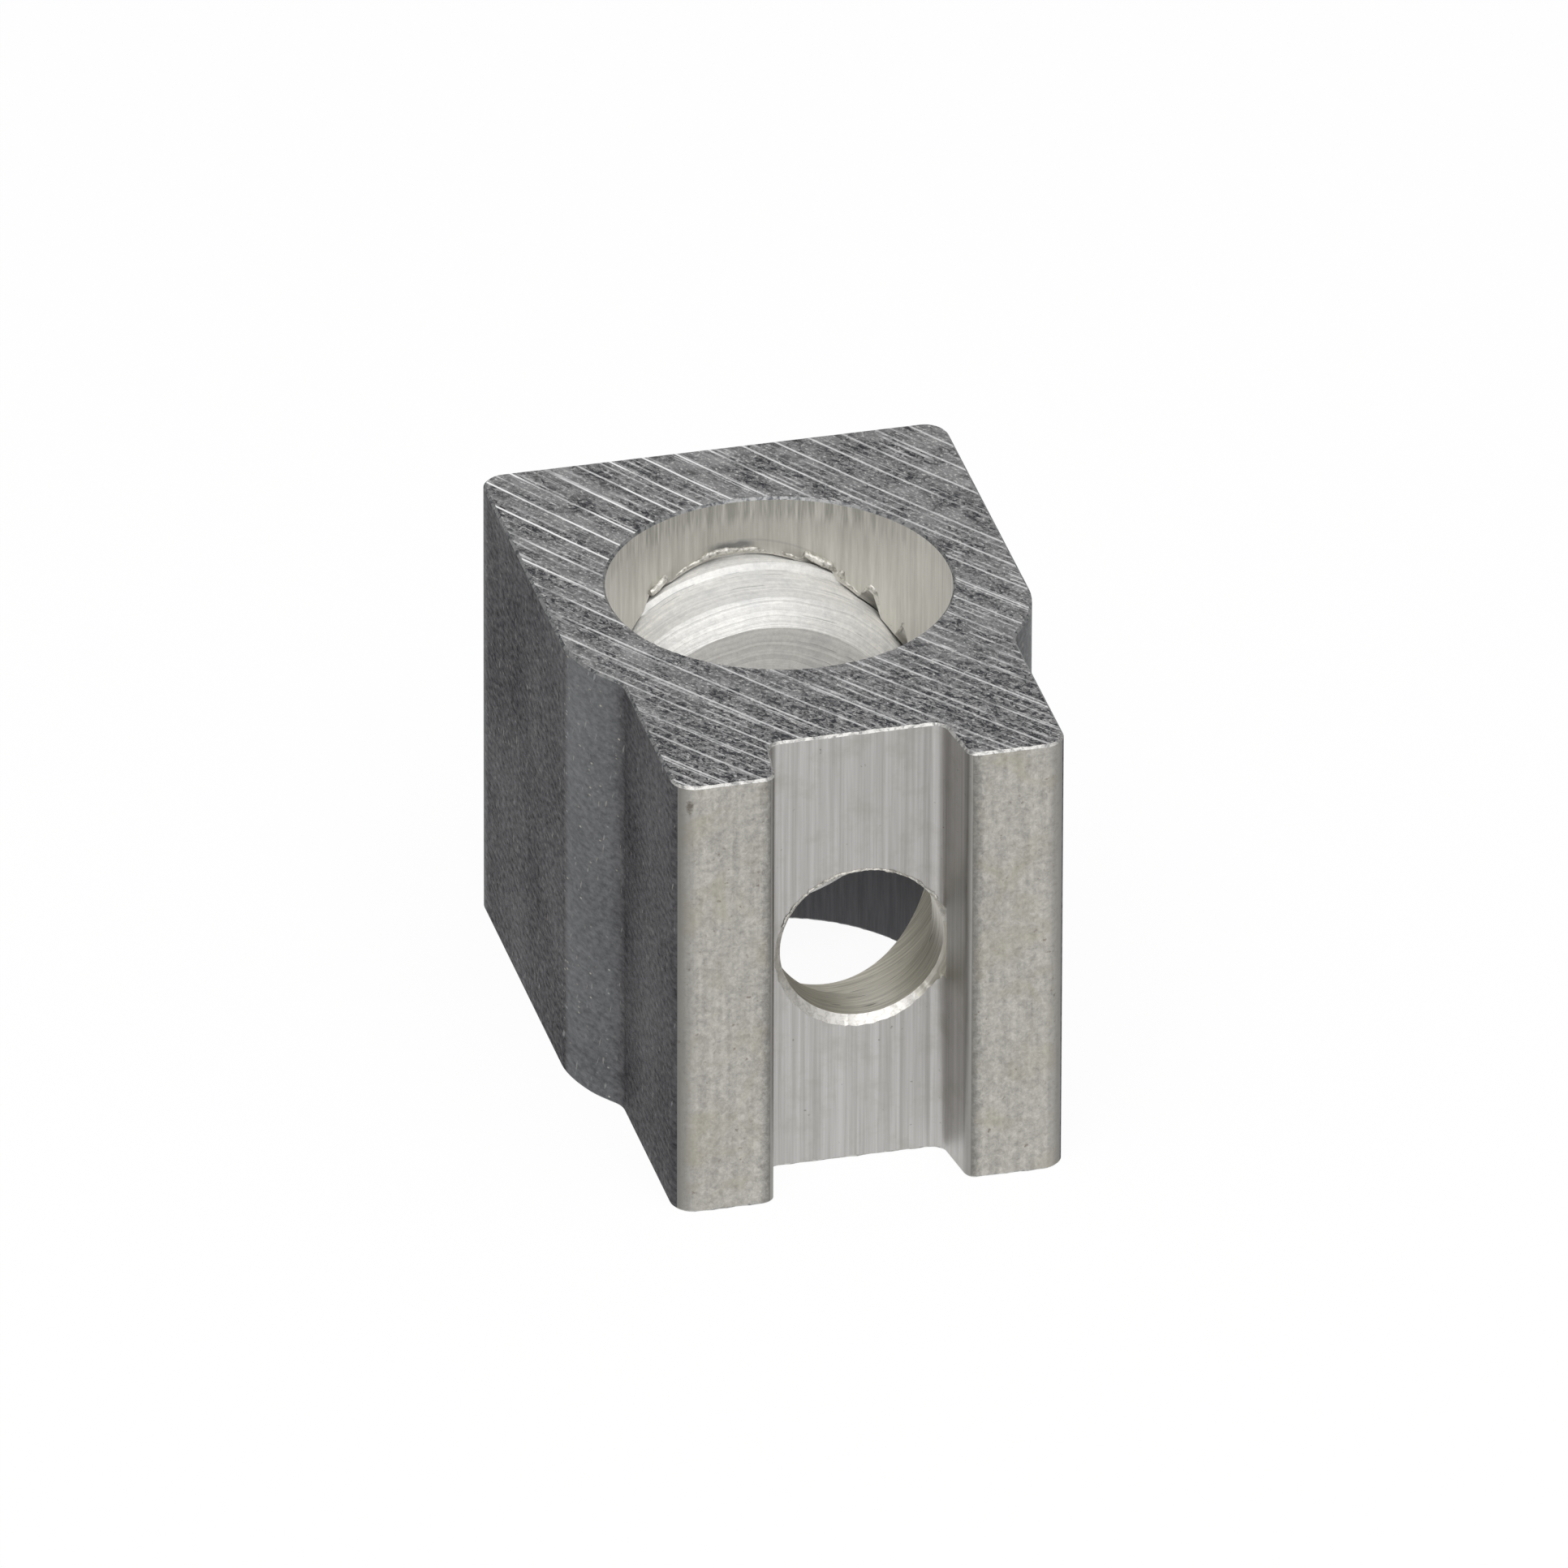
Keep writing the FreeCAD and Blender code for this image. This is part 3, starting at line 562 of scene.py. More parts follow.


# %% [markdown]
# ### Clean metal of the wire hole
# Fine streaks run along the hole. The soft box doesn't reach the back of the wall, so that
# side is darker with painted shade, and as the chips rubbed it, it carries all the marks, with a
# dark foot of painted shade.

# %% Wire hole's wall
def extruded_wire_hole():
    """Clean drawn aluminium, slightly warm, with fine streaks along the hole."""
    finish, shader, place = new_finish("extruded_wire_hole")
    mm = add(finish, "ShaderNodeMapping", {"Vector": place, "Scale": (1000, 1000, 1000)}).outputs[0]
    drawn = add(finish, "ShaderNodeMapping", {"Vector": place, "Scale": (1000, 1000, 50)}).outputs[0]
    lines = add(finish, "ShaderNodeTexNoise", {
        "Vector": drawn, "Scale": 3.2, "Detail": 5.0, "Roughness": 0.75,
    }).outputs[0]
    tone = add(finish, "ShaderNodeMapRange", {VALUE: lines, FROM_LOW: 0.35, FROM_HIGH: 0.65}).outputs[0]
    metal = add(finish, "ShaderNodeMix", {
        PART: tone, UNDER: linear("deddd6"), OVER: linear("f6f4ef"),
    }, data_type="RGBA").outputs[MIXED]
    spot = add(finish, "ShaderNodeSeparateXYZ", {0: mm}).outputs
    # painted shade: the back of the wall is darker
    behind = add(finish, "ShaderNodeMapRange", {
        VALUE: spot["Y"], FROM_LOW: 2.5, FROM_HIGH: 5.5, TO_LOW: 0.15,
    }).outputs[0]
    painted_back_shade = add(finish, "ShaderNodeMix", {
        PART: tone, UNDER: linear("b9b7b0"), OVER: linear("d3d1cb"),
    }, data_type="RGBA").outputs[MIXED]
    metal = add(finish, "ShaderNodeMix", {
        PART: behind, UNDER: metal, OVER: painted_back_shade,
    }, data_type="RGBA").outputs[MIXED]
    # grey streaks where the chips rubbed, and painted shade as the dark foot of the back wall
    rubbed_and_reflection = chip_band(finish, spot["Z"], lines)
    rubbed_and_reflection = add(finish, "ShaderNodeMath", {0: rubbed_and_reflection, 1: behind}, operation="MULTIPLY").outputs[0]
    streaks = add(finish, "ShaderNodeTexNoise", {
        "Vector": drawn, "Scale": 4.6, "Detail": 3.0, "Roughness": 0.8,
    }).outputs[0]
    streaks = add(finish, "ShaderNodeMapRange", {VALUE: streaks, FROM_LOW: 0.4, FROM_HIGH: 0.62}).outputs[0]
    grey = add(finish, "ShaderNodeMix", {
        PART: streaks, UNDER: linear("a8a7a1"), OVER: linear("dcdad4"),
    }, data_type="RGBA").outputs[MIXED]
    metal = add(finish, "ShaderNodeMix", {
        PART: rubbed_and_reflection, UNDER: metal, OVER: grey,
    }, data_type="RGBA").outputs[MIXED]
    foot = add(finish, "ShaderNodeMapRange", {VALUE: spot["Z"], FROM_LOW: 4.6, FROM_HIGH: 3.8}).outputs[0]
    rear = add(finish, "ShaderNodeMapRange", {VALUE: spot["Y"], FROM_LOW: -3.5, FROM_HIGH: -1.5}).outputs[0]
    foot = add(finish, "ShaderNodeMath", {0: foot, 1: rear}, operation="MULTIPLY").outputs[0]
    painted_foot_shade = add(finish, "ShaderNodeMix", {
        PART: streaks, UNDER: linear("565659"), OVER: linear("636366"),
    }, data_type="RGBA").outputs[MIXED]
    metal = add(finish, "ShaderNodeMix", {
        PART: foot, UNDER: metal, OVER: painted_foot_shade,
    }, data_type="RGBA").outputs[MIXED]
    smudge = tap_smudge(finish, mm, spot["X"])
    smudge = add(finish, "ShaderNodeMath", {0: smudge, 1: rear}, operation="MULTIPLY").outputs[0]
    metal = add(finish, "ShaderNodeMix", {
        PART: smudge, UNDER: metal, OVER: linear("77787a"),
    }, data_type="RGBA").outputs[MIXED]
    bump = add(finish, "ShaderNodeBump", {
        "Height": lines, "Strength": 0.15, "Distance": 0.00002,
    }).outputs[0]
    connect(finish, shader, {"Base Color": metal, "Normal": bump, "Roughness": 0.6, "Metallic": 0.8})
    return finish


WIRE_WALL = made(extruded_wire_hole())

# %% [markdown]
# ### Holes cut by tools
# A drill and a tap leave rings round their own axis, which for both lies along Y. A noise
# that changes fast along Y and slowly across it gives such rings, on a round wall and on a
# thread's flanks alike, with no coordinates laid round the hole. The drill was fed quickly,
# so it also left short dark scores.

# %% Drilled and tapped walls
def drilled_wall():
    """Aluminium drilled quickly: rings with short dark scores, warm grey."""
    finish, shader, place = new_finish("drilled_wall")
    rings = add(finish, "ShaderNodeMapping", {"Vector": place, "Scale": (350, 9000, 350)}).outputs[0]
    marks = add(finish, "ShaderNodeTexNoise", {
        "Vector": rings, "Scale": 1.0, "Detail": 4.0, "Roughness": 0.7,
    }).outputs[0]
    tone = add(finish, "ShaderNodeMapRange", {VALUE: marks, FROM_LOW: 0.34, FROM_HIGH: 0.66}).outputs[0]
    metal = add(finish, "ShaderNodeMix", {
        PART: tone, UNDER: linear("c4c1b7"), OVER: linear("efece3"),
    }, data_type="RGBA").outputs[MIXED]
    scores = add(finish, "ShaderNodeMapping", {"Vector": place, "Scale": (700, 7000, 700)}).outputs[0]
    scores = add(finish, "ShaderNodeTexNoise", {"Vector": scores, "Scale": 1.0, "Detail": 1.0}).outputs[0]
    scores = add(finish, "ShaderNodeMapRange", {
        VALUE: scores, FROM_LOW: 0.3, FROM_HIGH: 0.24, TO_HIGH: 0.7,
    }).outputs[0]
    metal = add(finish, "ShaderNodeMix", {
        PART: scores, UNDER: metal, OVER: linear("6b6861"),
    }, data_type="RGBA").outputs[MIXED]
    bump = add(finish, "ShaderNodeBump", {"Height": marks, "Strength": 0.3, "Distance": 0.00003}).outputs[0]
    connect(finish, shader, {"Base Color": metal, "Normal": bump, "Roughness": 0.45})
    return finish


def tapped_thread():
    """Aluminium cut by the tap: smooth flanks with faint drag marks along the thread."""
    finish, shader, place = new_finish("tapped_thread")
    drag = add(finish, "ShaderNodeMapping", {"Vector": place, "Scale": (600, 6000, 600)}).outputs[0]
    marks = add(finish, "ShaderNodeTexNoise", {"Vector": drag, "Scale": 1.0, "Detail": 3.0}).outputs[0]
    tone = add(finish, "ShaderNodeMapRange", {VALUE: marks, FROM_LOW: 0.36, FROM_HIGH: 0.64}).outputs[0]
    metal = add(finish, "ShaderNodeMix", {
        PART: tone, UNDER: linear("c2c0ba"), OVER: linear("e6e4de"),
    }, data_type="RGBA").outputs[MIXED]
    connect(finish, shader, {"Base Color": metal, "Roughness": 0.45})
    return finish


TAPPED = made(tapped_thread())
DRILLED = made(drilled_wall())

# %% [markdown]
# ### Turned screw
# Soft aluminium doesn't leave a lathe tool as bright rings alone. The tool tears it a
# little, and that gives the frosty look in which rings and grain lie over each other. Rings
# follow the distance out from the axis plus the distance along it, so that flat faces and
# the cylinder get them alike. Some are scored dark, for a part of a turn.

# %% Turned screw
def turned_aluminium():
    """Freshly turned aluminium: bright, cool, with tool rings 0.1 to 0.4 mm apart."""
    finish, shader, place = new_finish("bright_turned_aluminium")
    centred = add(finish, "ShaderNodeMapping", {
        "Vector": place, "Location": (0, 0, -MIDDLE), "Scale": (1000, 1000, 1000),
    }).outputs[0]
    split = add(finish, "ShaderNodeSeparateXYZ", {0: centred}).outputs
    across = add(finish, "ShaderNodeCombineXYZ", {"X": split["X"], "Z": split["Z"]}).outputs[0]
    out = add(finish, "ShaderNodeVectorMath", {0: across}, operation="LENGTH").outputs["Value"]
    wander = add(finish, "ShaderNodeTexNoise", {"Vector": centred, "Scale": 0.35, "Detail": 2.0}).outputs[0]
    feed = add(finish, "ShaderNodeMath", {0: out, 1: split["Y"]}, operation="ADD").outputs[0]
    feed = add(finish, "ShaderNodeMath", {0: wander, 1: 0.5, 2: feed}, operation="MULTIPLY_ADD").outputs[0]
    rings = add(finish, "ShaderNodeTexNoise", {
        "W": feed, "Scale": 4.2, "Detail": 6.0, "Roughness": 0.8,
    }, noise_dimensions="1D").outputs[0]
    # the feed tore the soft metal a little, so a grain of about 0.2 mm lies over the rings
    grain = add(finish, "ShaderNodeTexNoise", {
        "Vector": centred, "Scale": 4.5, "Detail": 4.0, "Roughness": 0.75,
    }).outputs[0]
    tone = add(finish, "ShaderNodeMix", {
        PART: 0.4, VALUE_UNDER: rings, VALUE_OVER: grain,
    }, data_type="FLOAT").outputs[0]
    tone = add(finish, "ShaderNodeMapRange", {VALUE: tone, FROM_LOW: 0.37, FROM_HIGH: 0.61}).outputs[0]
    metal = add(finish, "ShaderNodeMix", {
        PART: tone, UNDER: linear("d6d5d3"), OVER: linear("faf9f6"),
    }, data_type="RGBA").outputs[MIXED]
    # thin dark scores, broken along the turn
    score = add(finish, "ShaderNodeTexNoise", {
        "W": feed, "Scale": 5.5, "Detail": 2.0,
    }, noise_dimensions="1D").outputs[0]
    score = add(finish, "ShaderNodeMapRange", {VALUE: score, FROM_LOW: 0.36, FROM_HIGH: 0.3}).outputs[0]
    parts = add(finish, "ShaderNodeTexNoise", {"Vector": centred, "Scale": 0.8, "Detail": 3.0}).outputs[0]
    parts = add(finish, "ShaderNodeMapRange", {
        VALUE: parts, FROM_LOW: 0.48, FROM_HIGH: 0.6, TO_HIGH: 0.5,
    }).outputs[0]
    score = add(finish, "ShaderNodeMath", {0: score, 1: parts}, operation="MULTIPLY").outputs[0]
    metal = add(finish, "ShaderNodeMix", {
        PART: score, UNDER: metal, OVER: linear("85868a"),
    }, data_type="RGBA").outputs[MIXED]
    # dull smears
    smear = add(finish, "ShaderNodeTexNoise", {
        "Vector": centred, "Scale": 0.9, "Detail": 4.0, "Roughness": 0.65, "Distortion": 0.2,
    }).outputs[0]
    smear = add(finish, "ShaderNodeMapRange", {
        VALUE: smear, FROM_LOW: 0.5, FROM_HIGH: 0.8, TO_HIGH: 0.6,
    }).outputs[0]
    metal = add(finish, "ShaderNodeMix", {
        PART: smear, UNDER: metal, OVER: linear("c6c8cb"),
    }, data_type="RGBA").outputs[MIXED]
    bump = add(finish, "ShaderNodeBump", {"Height": tone, "Strength": 0.25, "Distance": 0.00003}).outputs[0]
    connect(finish, shader, {"Base Color": metal, "Normal": bump, "Roughness": 0.58, "Metallic": 0.62})
    return finish


TURNED = made(turned_aluminium())

# %% [markdown]
# ### Edges
# Where a tool breaks out of the metal, it pushes up a thin rough edge. All such edges are
# the same finish, only duller or brighter, so one function makes the four of them: the
# tap's burr, the lip along the front, the edges broken elsewhere, and the deburred rim.

# %% Torn and rolled edges
def torn_metal(name, dull, pale, depth):
    """Aluminium pushed out by a cutting edge: rough, pale, with dark pits."""
    finish, shader, place = new_finish(name)
    mm = add(finish, "ShaderNodeMapping", {"Vector": place, "Scale": (1000, 1000, 1000)}).outputs[0]
    lumps = add(finish, "ShaderNodeTexNoise", {
        "Vector": mm, "Scale": 4.0, "Detail": 4.0, "Roughness": 0.7, "Distortion": 0.5,
    }).outputs[0]
    tone = add(finish, "ShaderNodeMapRange", {VALUE: lumps, FROM_LOW: 0.38, FROM_HIGH: 0.55}).outputs[0]
    metal = add(finish, "ShaderNodeMix", {
        PART: tone, UNDER: linear(dull), OVER: linear(pale),
    }, data_type="RGBA").outputs[MIXED]
    bump = add(finish, "ShaderNodeBump", {
        "Height": lumps, "Strength": depth, "Distance": 0.00005,
    }).outputs[0]
    connect(finish, shader, {"Base Color": metal, "Normal": bump, "Roughness": 0.6})
    return finish


BURR = made(torn_metal("torn_burr", "a19f98", "dcdad4", 0.5))
LIP_BRIGHT = made(torn_metal("rolled_lip", "8a8a89", "cdccc9", 0.3))
LIP_DULL = made(torn_metal("broken_edge", "5c5e61", "a2a2a2", 0.5))
RIM = made(torn_metal("deburred_rim", "cccac5", "e6e4e0", 0.08))

# %% [markdown]
# ## Tools for modelling
# A few short helpers do what a hand does with the mouse: open a piece in edit mode, pick
# faces, edges or points by their place in millimetres, push them out, and put the piece's
# place into its mesh. The last one counts edges that don't join two faces, so that a hole in
# a mesh shows at once.

# %% Helpers for modelling
def choose(piece):
    """Make a piece the active one and the only one selected."""
    bpy.ops.object.select_all(action="DESELECT")
    piece.select_set(True)
    bpy.context.view_layer.objects.active = piece


def open_piece(piece):
    """Open a piece in edit mode, with nothing selected."""
    choose(piece)
    bpy.ops.object.mode_set(mode="EDIT")
    bpy.ops.mesh.select_mode(type="VERT")
    bpy.ops.mesh.select_all(action="DESELECT")


def close_piece():
    bpy.ops.object.mode_set(mode="OBJECT")


def pick(piece, kind, wanted):
    """Select the faces, edges or verts whose corners, in mm, pass a test. Returns how many."""
    bpy.ops.mesh.select_mode(type={"faces": "FACE", "edges": "EDGE", "verts": "VERT"}[kind])
    bpy.ops.mesh.select_all(action="DESELECT")
    mesh = bmesh.from_edit_mesh(piece.data)
    found = 0
    for item in getattr(mesh, kind):
        corners = [item.co] if kind == "verts" else [v.co for v in item.verts]
        if wanted([c * 1000 for c in corners]):
            item.select_set(True)
            found += 1
    mesh.select_flush_mode()
    bmesh.update_edit_mesh(piece.data)
    return found


def near(value, target, slack=0.002):
    """Whether two lengths in mm are the same, but for rounding."""
    return abs(value - target) < slack


def push(x, y, z):
    """Push what is selected out by x, y and z in mm."""
    bpy.ops.mesh.extrude_region_move(TRANSFORM_OT_translate={"value": (x * MM, y * MM, z * MM)})


def settle(piece):
    """Put a piece's place into its mesh, so that its object sits at the origin."""
    choose(piece)
    bpy.ops.object.transform_apply(location=True, rotation=True, scale=True)


def move(piece, x, y, z):
    """Move a piece by x, y and z in mm, and settle it there."""
    piece.location = (x * MM, y * MM, z * MM)
    settle(piece)


def tell(piece):
    """Print a mesh's faces, and its edges that don't join two faces, which have to be none."""
    mesh = piece.data
    edges = {}
    for face in mesh.polygons:
        for key in face.edge_keys:
            edges[key] = edges.get(key, 0) + 1
    loose = sum(1 for count in edges.values() if count != 2)
    print("%s: %d faces, %d edges that don't join two faces" % (piece.name, len(mesh.polygons), loose))


# %% [markdown]
# ## The lug's block
# The die gives the section, so the block could be one outline pushed up. Here it grows from
# a cube instead, the way a sketch becomes solid: the head first, then its front face is
# pushed out and narrowed for the shoulders, and again for the jaws.

# %% The block grows from its head
bpy.ops.object.select_all(action="DESELECT")
bpy.ops.mesh.primitive_cube_add(
    size=1,
    location=(0, (BACK + SHOULDER_TOP) / 2 * MM, MIDDLE * MM),
    scale=(2 * HEAD * MM, (BACK - SHOULDER_TOP) * MM, HEIGHT * MM),
)
lug = bpy.context.object
lug.name = "lug"
settle(lug)
open_piece(lug)
pick(lug, "faces", lambda c: all(near(p.y, SHOULDER_TOP) for p in c))
push(0, SHOULDER_FOOT - SHOULDER_TOP, 0)
bpy.ops.transform.resize(value=(NECK / HEAD, 1, 1), center_override=(0, 0, 0))
push(0, GROOVE_FLOOR - SHOULDER_FOOT, 0)
for side in (-1, 1):
    pick(lug, "faces", lambda c: all(near(p.y, GROOVE_FLOOR) for p in c))
    bpy.ops.mesh.bisect(plane_co=(side * GROOVE_FOOT * MM, 0, 0), plane_no=(1, 0, 0))
for side in (-1, 1):
    inner = GROOVE_FOOT - 0.01
    pick(lug, "faces", lambda c: all(near(p.y, GROOVE_FLOOR) and side * p.x > inner for p in c))
    push(0, FRONT - GROOVE_FLOOR, 0)
pick(lug, "verts", lambda c: near(c[0].y, FRONT) and abs(c[0].x) < GROOVE_FOOT + 0.1)
bpy.ops.transform.resize(value=(GROOVE_MOUTH / GROOVE_FOOT, 1, 1), center_override=(0, 0, 0))
bpy.ops.mesh.select_all(action="SELECT")
bpy.ops.mesh.remove_doubles(threshold=0.000001)
bpy.ops.mesh.dissolve_limited(angle_limit=math.radians(1))
close_piece()
tell(lug)

# %% [markdown]
# ### Rounds
# No die has sharp corners. Each edge along Z gets a bevel with its own radius. The bevel
# tool wants the distance from the corner, which is the radius times the tangent of half
# the angle by which the outline turns there. Each row gives x, y, radius, that half angle
# and the number of segments.

# %% The die's rounds, all along the extrusion
corner_rounds = [
    (HEAD, BACK, 1.0, 45.0, 8),
    (HEAD, SHOULDER_TOP, 4.9, 18.0, 8),
    (NECK, SHOULDER_FOOT, 1.2, 18.0, 6),
    (NECK, FRONT, 0.95, 45.0, 8),
    (GROOVE_MOUTH, FRONT, 0.45, 41.0, 5),
    (GROOVE_FOOT, GROOVE_FLOOR, 0.62, 41.0, 6),
]
open_piece(lug)
for x, y, radius, half_turn, segments in corner_rounds:
    count = pick(lug, "edges", lambda c: all(near(abs(p.x), x) and near(p.y, y) for p in c)
                 and c[0].x * c[1].x > 0)
    bpy.ops.mesh.bevel(
        offset=radius * math.tan(math.radians(half_turn)) * MM, offset_type="OFFSET",
        segments=segments, profile=0.5, affect="EDGES", clamp_overlap=False,
    )
    print("round of %.2f mm at x %.2f, y %.2f: %d edges" % (radius, x, y, count))
close_piece()

# %% [markdown]
# ## Saw-cut edges
# The blade rolls a small lip over each edge that it leaves. It is widest and most uneven
# where the cut ran out, along the jaws and the groove's floor. A bevel gives an even lip
# all round. Along the front it is then cut across many times, and its rims are shifted at
# random within their own planes, which keeps the big faces flat.

# %% Narrow bevels round both sawn ends
def ragged(piece, wanted, amount, seed, keep, about):
    """Shift the picked points at random in mm, then press them back into their plane."""
    count = pick(piece, "verts", wanted)
    bpy.ops.transform.vertex_random(offset=amount * MM, seed=seed)
    bpy.ops.transform.resize(value=keep, center_override=[v * MM for v in about])
    return count


LIP = 0.1
open_piece(lug)
count = pick(lug, "edges", lambda c: all(near(p.z, HEIGHT) for p in c) or all(near(p.z, 0) for p in c))
bpy.ops.mesh.bevel(offset=LIP * MM, offset_type="OFFSET", segments=1, affect="EDGES", clamp_overlap=False)
print("edges broken at the sawn ends:", count)

# %% [markdown]
# ### Uneven lip
# A lip can only be uneven where it has points to move. So the front's lip is cut into
# pieces of 0.31 mm first, and then its two rims are shifted, each in its own plane.

# %% The uneven lip along the front
def on_lip(corners):
    low, high = min(p.z for p in corners), max(p.z for p in corners)
    return (near(low, HEIGHT - LIP) and near(high, HEIGHT)) or (near(low, 0) and near(high, LIP))


def on_rim(corner, z, y, reach):
    return near(corner.z, z) and near(corner.y, y) and abs(corner.x) < reach


for half in (-1, 1):
    for step in range(24):
        x = half * (0.13 + step * 0.31)
        pick(lug, "faces", lambda c: on_lip(c) and max(p.y for p in c) < GROOVE_FLOOR + 0.15
             and min(p.x for p in c) < x < max(p.x for p in c))
        bpy.ops.mesh.bisect(plane_co=(x * MM, 0, 0), plane_no=(1, 0, 0))
shifted = 0
for level, inner in ((HEIGHT, HEIGHT - LIP), (0, LIP)):
    for face in (FRONT, GROOVE_FLOOR):
        reach = 7.2 if face == FRONT else 3.0
        shifted += ragged(lug, lambda c: on_rim(c[0], level, face + LIP, reach),
                          0.07, 4, (1, 1, 0), (0, 0, level))
        shifted += ragged(lug, lambda c: on_rim(c[0], inner, face, reach),
                          0.06, 9, (1, 0, 1), (0, face, 0))
close_piece()
print("points shifted along the front lips:", shifted)
tell(lug)

# %% [markdown]
# ## Turned solids
# Drills, countersinks, the screw's blank and its collar are all round. So each is drawn as
# half an outline, point after point, and spun round Y as on a lathe. A modifier does the
# spinning, and it is applied at once, because the next cut needs the finished mesh.

# %% Draw an outline and spin it
def draw(name, points):
    """Draw an open outline of (x, y, z) points in mm, as if clicked one after another."""
    bpy.ops.object.select_all(action="DESELECT")
    bpy.ops.mesh.primitive_plane_add(size=MM, location=[v * MM for v in points[0]])
    outline = bpy.context.object
    outline.name = name
    settle(outline)
    open_piece(outline)
    bpy.ops.mesh.select_all(action="SELECT")
    bpy.ops.mesh.merge(type="CENTER")
    for here, there in zip(points, points[1:]):
        step = [(b - a) * MM for a, b in zip(here, there)]
        bpy.ops.mesh.extrude_region_move(TRANSFORM_OT_translate={"value": step})
    close_piece()
    return outline


def finish_step(piece, kind, **settings):
    """Add a modifier, set it and apply it."""
    step = piece.modifiers.new(kind.lower(), kind)
    for name, value in settings.items():
        setattr(step, name, value)
    choose(piece)
    bpy.ops.object.modifier_apply(modifier=step.name)


def turn_on_lathe(outline, steps, finish):
    """Spin an outline that starts and ends on the Y axis into a solid."""
    finish_step(
        outline, "SCREW", axis="Y", steps=steps, render_steps=steps,
        use_merge_vertices=True, merge_threshold=0.000001,
    )
    open_piece(outline)
    bpy.ops.mesh.select_all(action="SELECT")
    bpy.ops.mesh.remove_doubles(threshold=0.000001)
    bpy.ops.mesh.normals_make_consistent(inside=False)
    close_piece()
    outline.data.materials.append(finish)
    tell(outline)
    return outline


# %% [markdown]
# ### Threads
# One helper makes a threaded bar: a single turn's outline is wound round Y, and the
# ends are closed. The tap that cuts the hole and the screw both come from it, and the
# tap's is a little larger all round, so the two run in each other. The thread is 5/8-18,
# which means 18 turns to the inch.

# %% A bar with a thread
PITCH = 25.4 / 18


def threaded_bar(name, crest, pitch_radius, root, crest_at, first_turn, turns, finish):
    """Wind a 60 degree thread round Y. The ridge is as wide as the gap at the pitch radius."""
    slope = math.tan(math.radians(30))
    flat = PITCH / 4 - (crest - pitch_radius) * slope
    foot = flat + (crest - root) * slope
    start = crest_at + first_turn * PITCH
    half = PITCH / 2
    profile = [(-half, root), (-foot, root), (-flat, crest), (flat, crest), (foot, root), (half, root)]
    bar = draw(name, [(0, start + y, r) for y, r in profile])
    finish_step(
        bar, "SCREW", axis="Y", steps=128, render_steps=128,
        screw_offset=PITCH * MM, iterations=turns,
    )
    open_piece(bar)
    bpy.ops.mesh.select_all(action="SELECT")
    bpy.ops.mesh.remove_doubles(threshold=0.000002)
    for end in range(2):
        bpy.ops.mesh.select_mode(type="EDGE")
        bpy.ops.mesh.select_all(action="DESELECT")
        bpy.ops.mesh.select_non_manifold(
            extend=False, use_wire=False, use_boundary=True,
            use_multi_face=False, use_non_contiguous=False, use_verts=False,
        )
        mesh = bmesh.from_edit_mesh(bar.data)
        rim = [e for e in mesh.edges if e.select]
        waist = start * MM + turns * PITCH * MM / 2
        for e in rim:
            e.select_set((e.verts[0].co.y < waist) == (end == 0))
        bmesh.update_edit_mesh(bar.data)
        bpy.ops.mesh.edge_face_add()
        bpy.ops.mesh.poke()
    bpy.ops.mesh.select_all(action="SELECT")
    bpy.ops.mesh.normals_make_consistent(inside=False)
    close_piece()
    bar.data.materials.append(finish)
    tell(bar)
    return bar


# %% [markdown]
# ### Joining and cutting
# The exact boolean keeps each face's finish, so the wall of a hole takes the finish of the
# tool that cut it. Points that then fall together are merged, or the lips would tear.

# %% Join, cut or cross two solids
def combine(piece, other, operation):
    """Join, cut or keep what two solids share. The new faces keep the other's finish."""
    finish_step(
        piece, "BOOLEAN", object=other, operation=operation,
        solver="EXACT", material_mode="TRANSFER",
    )
    bpy.data.objects.remove(other)
    open_piece(piece)
    bpy.ops.mesh.select_all(action="SELECT")
    bpy.ops.mesh.remove_doubles(threshold=0.003 * MM)
    bpy.ops.mesh.dissolve_degenerate(threshold=0.001 * MM)
    close_piece()
    tell(piece)


# %% [markdown]
# ## Holes
# Each hole is cut by the shape of the tool that made it, and its wall takes the tool's
# finish. The wire hole comes with the extrusion. It widens by 0.1 mm at both sawn ends,
# where the blade broke its edge, and that edge is shifted a little at random.

# %% Wire hole
WIRE_HOLE = 7.11
lug.data.materials.append(SAWN)
bpy.ops.object.select_all(action="DESELECT")
bpy.ops.mesh.primitive_cylinder_add(
    vertices=256, radius=WIRE_HOLE * MM, depth=(HEIGHT - 2 * LIP) * MM, location=(0, 0, MIDDLE * MM),
)
bore = bpy.context.object
settle(bore)
open_piece(bore)
for level, way in ((LIP, -1), (HEIGHT - LIP, 1)):
    pick(bore, "faces", lambda c: all(near(p.z, level) for p in c))
    # a hair past the sawn face, so that the two faces don't lie in one plane
    past = way * LIP * 1.001
    push(0, 0, past)
    grow = (WIRE_HOLE + LIP) / WIRE_HOLE
    bpy.ops.transform.resize(value=(grow, grow, 1), center_override=(0, 0, 0))
    ragged(bore, lambda c: near(c[0].z, level + past), 0.035, 3, (1, 1, 0), (0, 0, level + past))
    pick(bore, "faces", lambda c: all(near(p.z, level + past) for p in c))
    push(0, 0, way * 1.0)
close_piece()
bore.data.materials.append(WIRE_WALL)
combine(lug, bore, "DIFFERENCE")

# %% [markdown]
# ### Tapped hole
# The thread is cut first and the countersunk mouth after it, as in the shop. The tap is a
# threaded bar, cut to the length that it reached in front of the wire hole's axis, and its
# ridges leave the notches in the wire hole's wall. A picture of a thread would do from
# behind, but not here, where the thread breaks out through a round wall.

